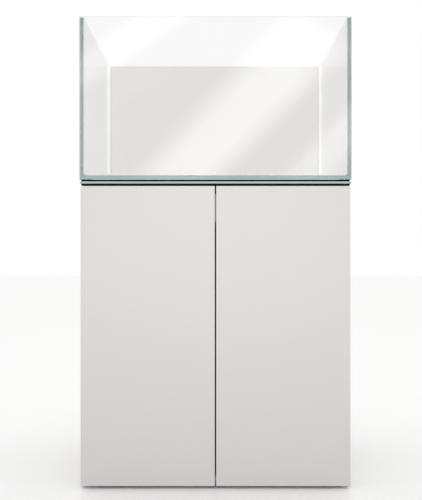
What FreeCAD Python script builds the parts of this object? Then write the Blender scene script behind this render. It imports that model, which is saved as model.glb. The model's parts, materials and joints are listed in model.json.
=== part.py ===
"""Rimless glass aquarium on a two-door cabinet. Millimetres, +Z up, front towards -Y,
origin on the floor under the middle of the cabinet."""

import FreeCAD, Part
import os
import math
import Sketcher

doc = FreeCAD.newDocument("aquarium_on_stand")

# ---------------------------------------------------------------------------------------------
# Driving dimensions
# ---------------------------------------------------------------------------------------------

DIMENSIONS = {
    # Tank
    "tank_width": 600,
    "tank_depth": 500,
    "tank_height": 360,
    "pane": 8,
    "silicone_layer": 1,
    "bead": 5,
    "bead_foot": 0.5,
    # Foam mats and the glass plate between tank and cabinet
    "mat_thickness": 4,
    "mat_inset": 3,
    "plate_thickness": 5,
    "plate_round": 2.2,
    # Cabinet
    "cabinet_width": 596,
    "cabinet_depth": 496,
    "floor_gap": 6,
    "carcass_height": 664,
    "board": 18,
    "back_board": 8,
    "edge_band": 1,
    "rail_height": 62,
    "port_diameter": 60,
    "hose_port_across": 190,
    "hose_port_up": 560,
    # Doors
    "door_gap": 3,
    "door_standoff": 2.5,
    "door_top_gap": 1,
    "door_round": 1,
    # Knock-down fittings
    "cam_diameter": 15,
    "cam_depth": 12.5,
    "cam_setback": 34,
    "cam_front": -170,
    "cam_rear": 180,
    "rail_cam_up": 42,
    "bolt_diameter": 7,
    "bolt_bite": 11,
    "bolt_start": 26,
    "dowel_diameter": 8,
    "dowel_length": 30,
    "dowel_deep": 100,
    "rail_dowel_up": 14,
    "screw_diameter": 3.5,
    "screw_length": 30,
    "screw_head_diameter": 7,
    "screw_head_height": 2,
    "screw_lowest": 60,
    "screw_step": 160,
    "screw_across": 150,
    # Concealed hinges: across is measured inwards from the cabinet's outer side face,
    # deep forwards from the door's inner face into the door
    "lower_hinge_up": 106,
    "upper_hinge_up": 540,
    "cup_across": 22.5,
    "cup_diameter": 35,
    "cup_depth": 13,
    "cup_wall": 1,
    "flange_thickness": 1,
    "flange_height": 60,
    "flange_round": 6,
    "flange_start": 4,
    "flange_end": 41,
    "cup_screw_across": 28,
    "cup_screw_up": 24,
    "cup_screw_diameter": 3.5,
    "cup_screw_length": 13,
    "cup_screw_head_diameter": 7,
    "cup_screw_head": 0.9,
    "arm_pivot_across": 40,
    "arm_pivot_deep": -8,
    "cup_pivot_across": 14,
    "cup_pivot_deep": 5,
    "pin_diameter": 3,
    "pin_play": 0.05,
    "arm_pin_reach": 8.8,
    "cup_pin_reach": 14.2,
    "link_width": 14,
    "rear_eye_radius": 3,
    "front_eye_radius": 2.6,
    "hook_near": 20,
    "hook_far": 30,
    "hook_over": 10.6,
    "hook_under": 6.8,
    "arm_inner_width": 14.6,
    "arm_outer_width": 17.6,
    "arm_top": 32,
    "arm_back": -68,
    "arm_wall": 1.5,
    "arm_bend": -24,
    "mounting_plate_top": 22,
    "mounting_plate_front": -22,
    "spine_height": 17,
    "wing_height": 46,
    "wing_reach": 7,
    "wing_step": 1,
    "plate_screw_deep": -39.5,
    "plate_screw_up": 16,
    "plate_screw_diameter": 5,
    "plate_screw_bite": 11,
    "plate_screw_head_diameter": 8,
    "plate_screw_head": 2,
    "arm_screw_deep": -56,
    "arm_screw_diameter": 4,
    "arm_screw_head_diameter": 7,
    "arm_screw_head": 1.5,
    "arm_screw_clear": 1,
    # Push latches
    "latch_across": 45,
    "barrel_diameter": 10,
    "barrel_length": 50,
    "barrel_flange_diameter": 14,
    "barrel_flange": 1,
    "plunger_diameter": 6,
    "plunger_length": 30,
    "plunger_gap": 1.1,
    "barrel_end": 3,
    "spring_radius": 2.3,
    "spring_wire": 0.8,
    "spring_pitch": 2,
    "strike_diameter": 16,
    "strike_thickness": 1,
    "spigot_diameter": 4,
    "spigot_length": 8,
    # Levelling feet
    "foot_across": 250,
    "foot_front": -190,
    "foot_rear": 200,
    "foot_diameter": 30,
    "foot_pad": 5,
    "stem_diameter": 8,
    "stem_top": 20,
    "insert_diameter": 12,
    "insert_top": 20,
}

sheet = doc.addObject("Spreadsheet::Sheet", "Sizes")
for row, (alias, size) in enumerate(DIMENSIONS.items(), start=1):
    sheet.set(f"A{row}", alias.replace("_", " "))
    sheet.set(f"B{row}", str(size))
    sheet.setAlias(f"B{row}", alias)
doc.recompute()


def cell(alias):
    """A dimension's name as an expression."""
    return f"Sizes.{alias}"


# Levels and faces worked out from the driving dimensions, as expressions
CARCASS_TOP = "(Sizes.floor_gap + Sizes.carcass_height)"
SIDES_TOP = f"({CARCASS_TOP} - Sizes.board)"
BOTTOM_TOP = "(Sizes.floor_gap + Sizes.board)"
BOTTOM_MIDDLE = "(Sizes.floor_gap + Sizes.board / 2)"
PLATE_BASE = f"({CARCASS_TOP} + Sizes.mat_thickness)"
TANK_MAT_BASE = f"({PLATE_BASE} + Sizes.plate_thickness)"
TANK_BASE = f"({TANK_MAT_BASE} + Sizes.mat_thickness)"
PANE_BASE = f"({TANK_BASE} + Sizes.pane + Sizes.silicone_layer)"
TANK_TOP = f"({TANK_BASE} + Sizes.tank_height)"
HALF_CABINET = "(Sizes.cabinet_width / 2)"
SIDE_INNER = f"({HALF_CABINET} - Sizes.board)"
SIDE_MIDDLE = f"({HALF_CABINET} - Sizes.board / 2)"
DOOR_FRONT = "(0 - Sizes.cabinet_depth / 2)"
DOOR_BACK = f"({DOOR_FRONT} + Sizes.board)"
CARCASS_FRONT = f"({DOOR_BACK} + Sizes.door_standoff)"
CABINET_BACK = "(Sizes.cabinet_depth / 2)"
CARCASS_BACK = f"({CABINET_BACK} - Sizes.back_board)"
RAIL_BACK = f"({CARCASS_FRONT} + Sizes.board)"
RAIL_MIDDLE = f"({CARCASS_FRONT} + Sizes.board / 2)"
RAIL_BASE = f"({SIDES_TOP} - Sizes.rail_height)"
LATCH_UP = f"({SIDES_TOP} - Sizes.rail_height / 2)"

# Edges nearer to a level or a face than this lie on it
TOUCH = 0.01

SIDES = {"left": -1, "right": 1}
HINGE_LEVELS = {"upper": cell("upper_hinge_up"), "lower": cell("lower_hinge_up")}

nodes = []


def keep(feature, label):
    """Marks a finished sub-part and gives it its name."""
    feature.Label = label
    nodes.append(feature)
    return feature


# ---------------------------------------------------------------------------------------------
# Sketched pieces
# ---------------------------------------------------------------------------------------------


def sketch_on(body, name, role, start):
    """A sketch parallel to one of the body's origin planes, start along the plane's normal."""
    sketch = body.newObject("Sketcher::SketchObject", name)
    plane = next(item for item in body.Origin.OriginFeatures if item.Role == role)
    sketch.AttachmentSupport = [(plane, "")]
    sketch.MapMode = "FlatFace"
    sketch.setExpression("AttachmentOffset.Base.z", start)
    return sketch


def pin_point(sketch, geometry, point, across, up, seed):
    """Holds a point of the sketch at a place given by two expressions."""
    for kind, expression, value in (("DistanceX", across, seed.x), ("DistanceY", up, seed.y)):
        index = sketch.addConstraint(Sketcher.Constraint(kind, -1, 1, geometry, point, value))
        sketch.setExpression(f"Constraints[{index}]", expression)


def add_outline(sketch, corners):
    """A closed outline of straight edges through the corners."""
    first = sketch.GeometryCount
    count = len(corners)
    turns = [2 * math.pi * (index + 0.5) / count for index in range(count)]
    seeds = [FreeCAD.Vector(10 * math.cos(turn), 10 * math.sin(turn), 0) for turn in turns]
    for index in range(count):
        sketch.addGeometry(Part.LineSegment(seeds[index], seeds[(index + 1) % count]))
    for index in range(count):
        following = first + (index + 1) % count
        sketch.addConstraint(Sketcher.Constraint("Coincident", first + index, 2, following, 1))
    for index, (across, up) in enumerate(corners):
        pin_point(sketch, first + index, 1, across, up, seeds[index])


def add_circle(sketch, across, up, radius):
    """A circle whose centre and radius are expressions."""
    centre = FreeCAD.Vector(1, 1, 0)
    index = sketch.addGeometry(Part.Circle(centre, FreeCAD.Vector(0, 0, 1), 1))
    pin_point(sketch, index, 3, across, up, centre)
    held = sketch.addConstraint(Sketcher.Constraint("Radius", index, 1))
    sketch.setExpression(f"Constraints[{held}]", radius)


def rectangle(low_across, low_up, high_across, high_up):
    """The corners of a rectangle between two opposite corners."""
    return [
        (low_across, low_up),
        (high_across, low_up),
        (high_across, high_up),
        (low_across, high_up),
    ]


def extrude(body, kind, name, role, start, length, outlines=(), circles=()):
    """A pad or a pocket along the plane's normal, from start over length."""
    sketch = sketch_on(body, f"{name}_sketch", role, start)
    for corners in outlines:
        add_outline(sketch, corners)
    for circle in circles:
        add_circle(sketch, *circle)
    feature = body.newObject(f"PartDesign::{kind}", name)
    feature.Profile = sketch
    feature.setExpression("Length", length)
    if kind == "Pocket":
        feature.Reversed = True
    body.Tip = feature
    return feature


def new_body(name):
    return doc.addObject("PartDesign::Body", name)


def slab(name, role, start, length, outlines=(), circles=()):
    """A body made of one pad."""
    body = new_body(f"{name}_body")
    extrude(body, "Pad", f"{name}_pad", role, start, length, outlines, circles)
    return body


def box_board(name, low, high):
    """A rectangular board between two corners, padded upwards."""
    corners = rectangle(low[0], low[1], high[0], high[1])
    return slab(name, "XY_Plane", low[2], f"{high[2]} - ({low[2]})", [corners])


def round_edges(body, name, radius, chosen, kind="Fillet"):
    """Rounds or bevels the edges of the body's last feature that chosen accepts."""
    doc.recompute()
    base = body.Tip
    edges = [
        f"Edge{number}"
        for number, edge in enumerate(base.Shape.Edges, start=1)
        if chosen(edge)
    ]
    feature = body.newObject(f"PartDesign::{kind}", name)
    feature.Base = (base, edges)
    feature.setExpression("Radius" if kind == "Fillet" else "Size", radius)
    body.Tip = feature
    return feature


# ---------------------------------------------------------------------------------------------
# Turned pieces and groups of fasteners
# ---------------------------------------------------------------------------------------------

AXIS_TURNS = {
    "X": FreeCAD.Rotation(FreeCAD.Vector(0, 1, 0), 90),
    "Y": FreeCAD.Rotation(FreeCAD.Vector(1, 0, 0), -90),
    "Z": FreeCAD.Rotation(),
}


def cylinder(name, axis, place, radius, low, high):
    """A cylinder along an axis, from low to high on it, measured from place."""
    item = doc.addObject("Part::Cylinder", name)
    item.setExpression("Radius", radius)
    item.setExpression("Height", f"{high} - ({low})")
    item.Placement = FreeCAD.Placement(FreeCAD.Vector(), AXIS_TURNS[axis])
    for letter, coordinate in zip("XYZ", place):
        offset = f" + ({low})" if letter == axis else ""
        item.setExpression(f"Placement.Base.{letter.lower()}", f"{coordinate}{offset}")
    return item


def stepped(name, axis, place, steps):
    """Coaxial cylinders of different radii, joined into one solid."""
    rounds = [cylinder(f"{name}_{index}", axis, place, *step) for index, step in enumerate(steps)]
    joined = doc.addObject("Part::MultiFuse", f"{name}_joined")
    joined.Shapes = rounds
    return joined


def group(name, members):
    """Several separate solids kept together."""
    item = doc.addObject("Part::Compound", name)
    item.Links = members
    return item


def cut(name, base, tools):
    """The base less the room that the tools take up."""
    item = doc.addObject("Part::Cut", name)
    item.Base = base
    item.Tool = tools[0] if len(tools) == 1 else group(f"{name}_tools", tools)
    return item


def half(alias):
    return f"Sizes.{alias} / 2"


# ---------------------------------------------------------------------------------------------
# Glass tank: four walls stand on the bottom pane, side panes between front and back
# ---------------------------------------------------------------------------------------------

HALF_TANK = "(Sizes.tank_width / 2)"
HALF_TANK_DEPTH = "(Sizes.tank_depth / 2)"
TANK_INNER = f"({HALF_TANK} - Sizes.pane)"
TANK_INNER_DEPTH = f"({HALF_TANK_DEPTH} - Sizes.pane)"

keep(
    box_board(
        "tank_bottom_pane",
        (f"-{HALF_TANK}", f"-{HALF_TANK_DEPTH}", TANK_BASE),
        (HALF_TANK, HALF_TANK_DEPTH, f"{TANK_BASE} + Sizes.pane"),
    ),
    "tank_bottom_pane",
)
for label, face, inner in (
    ("tank_front_pane", f"-{HALF_TANK_DEPTH}", f"-{TANK_INNER_DEPTH}"),
    ("tank_back_pane", TANK_INNER_DEPTH, HALF_TANK_DEPTH),
):
    low = (f"-{HALF_TANK}", face, PANE_BASE)
    keep(box_board(label, low, (HALF_TANK, inner, TANK_TOP)), label)

SIDE_PANE_END = f"({TANK_INNER_DEPTH} - Sizes.silicone_layer)"
for label, low_across, high_across in (
    ("tank_left_pane", f"-{HALF_TANK}", f"-{TANK_INNER}"),
    ("tank_right_pane", TANK_INNER, HALF_TANK),
):
    low = (low_across, f"-{SIDE_PANE_END}", PANE_BASE)
    keep(box_board(label, low, (high_across, SIDE_PANE_END, TANK_TOP)), label)


def corner_seam(name, side, end):
    """A layer between two panes with a bevelled bead inside the corner."""
    outer, inner = f"{side} * {HALF_TANK}", f"{side} * {TANK_INNER}"
    face, edge = f"{end} * {TANK_INNER_DEPTH}", f"{end} * {SIDE_PANE_END}"
    profile = [
        (outer, face),
        (f"{side} * ({TANK_INNER} - Sizes.bead)", face),
        (inner, f"{end} * ({SIDE_PANE_END} - Sizes.bead)"),
        (inner, edge),
        (outer, edge),
    ]
    return slab(name, "XY_Plane", PANE_BASE, f"{TANK_TOP} - {PANE_BASE}", [profile])


corner_seams = group(
    "corner_seams",
    [
        corner_seam(f"corner_seam_{side_name}_{end_name}", side, end)
        for side_name, side in SIDES.items()
        for end_name, end in (("front", -1), ("back", 1))
    ],
)
keep(corner_seams, "tank_corner_seams")

# The floor seam is a thin frame under the walls with a bevelled bead on the floor inside them
SEAM_BASE = f"({TANK_BASE} + Sizes.pane)"
floor_seam = new_body("floor_seam_body")
bead_edge = f"({TANK_INNER} - Sizes.bead)"
bead_edge_depth = f"({TANK_INNER_DEPTH} - Sizes.bead)"
inside_bead = rectangle(f"-{bead_edge}", f"-{bead_edge_depth}", bead_edge, bead_edge_depth)
inside_walls = rectangle(f"-{TANK_INNER}", f"-{TANK_INNER_DEPTH}", TANK_INNER, TANK_INNER_DEPTH)
outside_walls = rectangle(f"-{HALF_TANK}", f"-{HALF_TANK_DEPTH}", HALF_TANK, HALF_TANK_DEPTH)
extrude(
    floor_seam,
    "Pad",
    "floor_seam_layer",
    "XY_Plane",
    SEAM_BASE,
    cell("silicone_layer"),
    [outside_walls, inside_bead],
)
extrude(
    floor_seam,
    "Pad",
    "floor_seam_bead",
    "XY_Plane",
    PANE_BASE,
    cell("bead"),
    [inside_walls, inside_bead],
)


def inner_bead_edge(edge):
    """The four top edges of the bead that face the middle of the tank."""
    box = edge.BoundBox
    level = box.ZLength < TOUCH and abs(box.ZMin - bead_top) < TOUCH
    inside = max(abs(box.XMin), abs(box.XMax)) < bead_reach and box.YMin > -bead_reach_depth
    return level and inside and box.YMax < bead_reach_depth


size = DIMENSIONS
bead_top = (
    size["floor_gap"]
    + size["carcass_height"]
    + 2 * size["mat_thickness"]
    + size["plate_thickness"]
    + size["pane"]
    + size["silicone_layer"]
    + size["bead"]
)
bead_reach = size["tank_width"] / 2 - size["pane"] - size["bead"] / 2
bead_reach_depth = size["tank_depth"] / 2 - size["pane"] - size["bead"] / 2
BEVEL = "Sizes.bead - Sizes.bead_foot"
round_edges(floor_seam, "floor_seam_bevel", BEVEL, inner_bead_edge, "Chamfer")
keep(cut("floor_seam", floor_seam, [corner_seams]), "tank_floor_seam")

# ---------------------------------------------------------------------------------------------
# Foam mats and the glass plate
# ---------------------------------------------------------------------------------------------

MAT_HALF = f"({HALF_TANK} - Sizes.mat_inset)"
MAT_HALF_DEPTH = f"({HALF_TANK_DEPTH} - Sizes.mat_inset)"
for label, base in (("tank_mat", TANK_MAT_BASE), ("cabinet_mat", CARCASS_TOP)):
    low = (f"-{MAT_HALF}", f"-{MAT_HALF_DEPTH}", base)
    keep(box_board(label, low, (MAT_HALF, MAT_HALF_DEPTH, f"{base} + Sizes.mat_thickness")), label)

base_plate = box_board(
    "base_glass_plate",
    (f"-{HALF_TANK}", f"-{HALF_TANK_DEPTH}", PLATE_BASE),
    (HALF_TANK, HALF_TANK_DEPTH, TANK_MAT_BASE),
)
round_edges(
    base_plate,
    "base_plate_round",
    cell("plate_round"),
    lambda edge: edge.BoundBox.ZLength < TOUCH,
)
keep(base_plate, "base_glass_plate")

# ---------------------------------------------------------------------------------------------
# Knock-down fittings that hold the carcass together
# ---------------------------------------------------------------------------------------------

CAM_RADIUS, BOLT_RADIUS, DOWEL_RADIUS = half("cam_diameter"), half("bolt_diameter"), half("dowel_diameter")
CAM_ACROSS = f"({SIDE_INNER} - Sizes.cam_setback)"
CAM_DEPTHS = {"front": cell("cam_front"), "rear": cell("cam_rear")}
DOWEL_DEPTHS = ("-Sizes.dowel_deep", "Sizes.dowel_deep")
RAIL_CAM_UP = f"({RAIL_BASE} + Sizes.rail_cam_up)"
RAIL_DOWEL_UP = f"({RAIL_BASE} + Sizes.rail_dowel_up)"
DOWEL_START = "(Sizes.bolt_bite - Sizes.dowel_length)"


def towards(side, low, high):
    """The two ends of a stretch that runs away from the middle, in rising order."""
    return (low, high) if side > 0 else (f"-({high})", f"-({low})")


cams, bolts, dowels = [], [], []
for side_name, side in SIDES.items():
    for depth_name, depth in CAM_DEPTHS.items():
        # Upper cams lie in the side's inner face, with upright bolts into the top
        name = f"{side_name}_{depth_name}"
        cam_up = f"{SIDES_TOP} - Sizes.cam_setback"
        upright = (f"{side} * {SIDE_MIDDLE}", depth, SIDES_TOP)
        inwards = towards(side, SIDE_INNER, f"{SIDE_INNER} + Sizes.cam_depth")
        cams.append(cylinder(f"top_cam_{name}", "X", ("0", depth, cam_up), CAM_RADIUS, *inwards))
        bolts.append(
            cylinder(f"top_bolt_{name}", "Z", upright, BOLT_RADIUS, "-Sizes.bolt_start", "Sizes.bolt_bite")
        )
        # Lower cams lie in the bottom's upper face, with level bolts into the side
        level = ("0", depth, BOTTOM_MIDDLE)
        cam_place = (f"{side} * {CAM_ACROSS}", depth, BOTTOM_TOP)
        reach = towards(side, f"{SIDE_INNER} - Sizes.bolt_start", f"{SIDE_INNER} + Sizes.bolt_bite")
        cams.append(cylinder(f"bottom_cam_{name}", "Z", cam_place, CAM_RADIUS, "-Sizes.cam_depth", "0"))
        bolts.append(cylinder(f"bottom_bolt_{name}", "X", level, BOLT_RADIUS, *reach))
    for number, depth in enumerate(DOWEL_DEPTHS):
        upright = (f"{side} * {SIDE_MIDDLE}", depth, SIDES_TOP)
        level = ("0", depth, BOTTOM_MIDDLE)
        reach = towards(side, f"{SIDE_INNER} + {DOWEL_START}", f"{SIDE_INNER} + Sizes.bolt_bite")
        name = f"{side_name}_{number}"
        dowels.append(
            cylinder(f"top_dowel_{name}", "Z", upright, DOWEL_RADIUS, DOWEL_START, "Sizes.bolt_bite")
        )
        dowels.append(cylinder(f"bottom_dowel_{name}", "X", level, DOWEL_RADIUS, *reach))
    # One cam, bolt and dowel at each end of the front rail
    rail_cam = (f"{side} * {CAM_ACROSS}", RAIL_BACK, RAIL_CAM_UP)
    bolt_reach = towards(side, f"{SIDE_INNER} - Sizes.bolt_start", f"{SIDE_INNER} + Sizes.bolt_bite")
    dowel_reach = towards(side, f"{SIDE_INNER} + {DOWEL_START}", f"{SIDE_INNER} + Sizes.bolt_bite")
    cams.append(cylinder(f"rail_cam_{side_name}", "Y", rail_cam, CAM_RADIUS, "-Sizes.cam_depth", "0"))
    rail_bolt = ("0", RAIL_MIDDLE, RAIL_CAM_UP)
    rail_dowel = ("0", RAIL_MIDDLE, RAIL_DOWEL_UP)
    bolts.append(cylinder(f"rail_bolt_{side_name}", "X", rail_bolt, BOLT_RADIUS, *bolt_reach))
    dowels.append(cylinder(f"rail_dowel_{side_name}", "X", rail_dowel, DOWEL_RADIUS, *dowel_reach))

cam_locks = keep(group("cams", cams), "cam_locks")
cam_bolts = keep(group("bolts", bolts), "cam_bolts")
wood_dowels = keep(group("dowel_set", dowels), "wood_dowels")

# Countersunk screws hold the back on the edges of the sides, the top and the bottom
SCREWS_UP_A_SIDE = 4
screw_places = [
    (f"{side} * {SIDE_MIDDLE}", f"Sizes.screw_lowest + {number} * Sizes.screw_step")
    for side in SIDES.values()
    for number in range(SCREWS_UP_A_SIDE)
]
screw_places += [
    (f"{side} * Sizes.screw_across", up)
    for side in SIDES.values()
    for up in (f"{CARCASS_TOP} - Sizes.board / 2", BOTTOM_MIDDLE)
]
SCREW_RADIUS, SCREW_HEAD = half("screw_diameter"), half("screw_head_diameter")
back_screws = group(
    "back_screw_set",
    [
        stepped(
            f"back_screw_{number}",
            "Y",
            (across, CABINET_BACK, up),
            [
                (SCREW_RADIUS, "-Sizes.screw_length", "-Sizes.screw_head_height"),
                (SCREW_HEAD, "-Sizes.screw_head_height", "0"),
            ],
        )
        for number, (across, up) in enumerate(screw_places)
    ],
)
keep(back_screws, "back_screws")

# ---------------------------------------------------------------------------------------------
# Concealed hinges
# ---------------------------------------------------------------------------------------------


def hinge_corner(side, across, deep):
    """A place in the hinge's own measures, as the document's X and Y."""
    return (f"{side} * ({HALF_CABINET} - ({across}))", f"{DOOR_BACK} - ({deep})")


def hinge_outline(side, corners):
    return [hinge_corner(side, across, deep) for across, deep in corners]


ARM_PIVOT = (cell("arm_pivot_across"), cell("arm_pivot_deep"))
CUP_PIVOT = (cell("cup_pivot_across"), cell("cup_pivot_deep"))
PIN_RADIUS = half("pin_diameter")
PIN_HOLE = f"({PIN_RADIUS} + Sizes.pin_play)"
WING_TOP = f"({HALF_CABINET} - Sizes.mounting_plate_top + Sizes.wing_step)"
ARM_OUTER = f"({HALF_CABINET} - Sizes.arm_top)"

arm_pins, plate_screws, arm_screws = [], [], []
side_tools = {"left": [], "right": []}
door_tools = {"left": [], "right": []}


def hinge_cup(name, side, level, cup_pin, screws):
    """A pressed cup with its flange; the door is cut to the cup's outside."""
    middle = f"{side} * ({HALF_CABINET} - Sizes.cup_across)"
    place = (middle, DOOR_BACK, level)
    outside = cylinder(f"{name}_outside", "Y", place, half("cup_diameter"), "-Sizes.cup_depth", "0")
    cavity_radius = f"{half('cup_diameter')} - Sizes.cup_wall"
    cavity_floor = "Sizes.cup_wall - Sizes.cup_depth"
    cavity = cylinder(f"{name}_cavity", "Y", place, cavity_radius, cavity_floor, "Sizes.flange_thickness")
    edges = [f"{side} * ({HALF_CABINET} - Sizes.{alias})" for alias in ("flange_start", "flange_end")]
    top, base = f"{level} + Sizes.flange_height / 2", f"{level} - Sizes.flange_height / 2"
    back = f"{DOOR_BACK} + Sizes.flange_thickness"
    flange = slab(
        f"{name}_flange",
        "XZ_Plane",
        f"-({back})",
        cell("flange_thickness"),
        [rectangle(edges[0], base, edges[1], top)],
    )
    round_edges(
        flange,
        f"{name}_flange_round",
        cell("flange_round"),
        lambda edge: edge.BoundBox.YLength > TOUCH,
    )
    blank = doc.addObject("Part::Fuse", f"{name}_blank")
    blank.Base, blank.Tool = outside, flange
    hollow = cut(f"{name}_hollow", blank, [cavity])
    return cut(name, hollow, [cup_pin, *screws]), outside


def hinge_link(name, side, level):
    """A hooked bar from the arm's pivot to the cup's pivot, bored for both pins.

    The corners are set off from the pivots so that the bar clears the cup's rim and
    the door's edge all the way round the door's swing.
    """
    body = new_body(f"{name}_body")
    start, width = f"{level} - Sizes.link_width / 2", cell("link_width")
    bar = [
        ("Sizes.arm_pivot_across + 2.2", "Sizes.arm_pivot_deep + 1.4"),
        ("Sizes.hook_far + 5.6", "Sizes.flange_thickness * -1.4"),
        ("Sizes.hook_far + 5.2", "Sizes.cup_pivot_deep + 0.5"),
        ("Sizes.hook_far - 0.5", "Sizes.hook_over"),
        ("Sizes.hook_near", "Sizes.hook_over"),
        ("Sizes.cup_pivot_across - 1.8", "Sizes.cup_pivot_deep + 2.2"),
        ("Sizes.cup_pivot_across + 1.4", "Sizes.cup_pivot_deep - 2.4"),
        ("Sizes.hook_near + 0.5", "Sizes.hook_under"),
        ("Sizes.hook_far - 3.7", "Sizes.hook_under"),
        ("Sizes.hook_far", "Sizes.cup_pivot_deep - 1.5"),
        ("Sizes.hook_far + 0.6", "Sizes.flange_thickness * -2.4"),
        ("Sizes.arm_pivot_across - 2.2", "Sizes.arm_pivot_deep - 2"),
    ]
    extrude(body, "Pad", f"{name}_bar", "XY_Plane", start, width, [hinge_outline(side, bar)])
    for part_name, pivot in (("rear", ARM_PIVOT), ("front", CUP_PIVOT)):
        eye = (*hinge_corner(side, *pivot), f"Sizes.{part_name}_eye_radius")
        extrude(body, "Pad", f"{name}_{part_name}_eye", "XY_Plane", start, width, circles=[eye])
    holes = [(*hinge_corner(side, *pivot), PIN_HOLE) for pivot in (ARM_PIVOT, CUP_PIVOT)]
    extrude(body, "Pocket", f"{name}_holes", "XY_Plane", start, width, circles=holes)
    return body


def hinge_arm(name, side, level, pin, screw):
    """A folded channel: two cheeks that carry the pivot pin, joined by a web.

    The cheeks' front corners are set off from the pivot as an eye around the pin.
    """
    body = new_body(f"{name}_body")
    cheeks = [
        (cell("mounting_plate_top"), cell("arm_back")),
        (cell("arm_top"), cell("arm_back")),
        (cell("arm_top"), cell("arm_bend")),
        ("Sizes.arm_pivot_across + 4", "Sizes.arm_pivot_deep - 6"),
        ("Sizes.arm_pivot_across + 4", "Sizes.arm_pivot_deep + 2"),
        ("Sizes.arm_pivot_across + 2", "Sizes.arm_pivot_deep + 4"),
        ("Sizes.arm_pivot_across - 2", "Sizes.arm_pivot_deep + 4"),
        ("Sizes.arm_pivot_across - 4", "Sizes.arm_pivot_deep + 2"),
        ("Sizes.arm_pivot_across - 4", "Sizes.arm_pivot_deep - 3"),
        (cell("mounting_plate_top"), cell("mounting_plate_front")),
    ]
    inside = [
        ("Sizes.mounting_plate_top - 1", "Sizes.arm_back - 1"),
        ("Sizes.arm_top - Sizes.arm_wall", "Sizes.arm_back - 1"),
        ("Sizes.arm_top - Sizes.arm_wall", "Sizes.arm_bend + 0.6"),
        ("Sizes.arm_pivot_across + 2.4", "Sizes.arm_pivot_deep - 5"),
        ("Sizes.arm_pivot_across + 5", "Sizes.arm_pivot_deep - 5"),
        ("Sizes.arm_pivot_across + 5", "Sizes.arm_pivot_deep + 5"),
        ("Sizes.mounting_plate_top - 1", "Sizes.arm_pivot_deep + 5"),
    ]
    for kind, part_name, width, outline in (
        ("Pad", "cheeks", "arm_outer_width", cheeks),
        ("Pocket", "channel", "arm_inner_width", inside),
    ):
        start = f"{level} - Sizes.{width} / 2"
        outlines = [hinge_outline(side, outline)]
        extrude(body, kind, f"{name}_{part_name}", "XY_Plane", start, cell(width), outlines)
    return cut(name, body, [pin, screw])


def mounting_plate(name, side, level, screws):
    """A cross-shaped plate screwed to the side panel, under the arm."""
    body = new_body(f"{name}_body")
    low = f"{side} * {SIDE_INNER}"
    spine_top = f"{side} * ({HALF_CABINET} - Sizes.mounting_plate_top)"
    wing_top = f"{side} * {WING_TOP}"
    back, front = (f"{DOOR_BACK} - Sizes.{alias}" for alias in ("arm_back", "mounting_plate_front"))
    middle = f"{DOOR_BACK} - Sizes.plate_screw_deep"
    wing_back, wing_front = f"{middle} + Sizes.wing_reach", f"{middle} - Sizes.wing_reach"
    for part_name, corners in (
        ("spine", rectangle(low, front, spine_top, back)),
        ("wing", rectangle(low, wing_front, wing_top, wing_back)),
    ):
        height = f"Sizes.{part_name}_height"
        start = f"{level} - {height} / 2"
        extrude(body, "Pad", f"{name}_{part_name}", "XY_Plane", start, height, [corners])
    return cut(name, body, screws)


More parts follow.
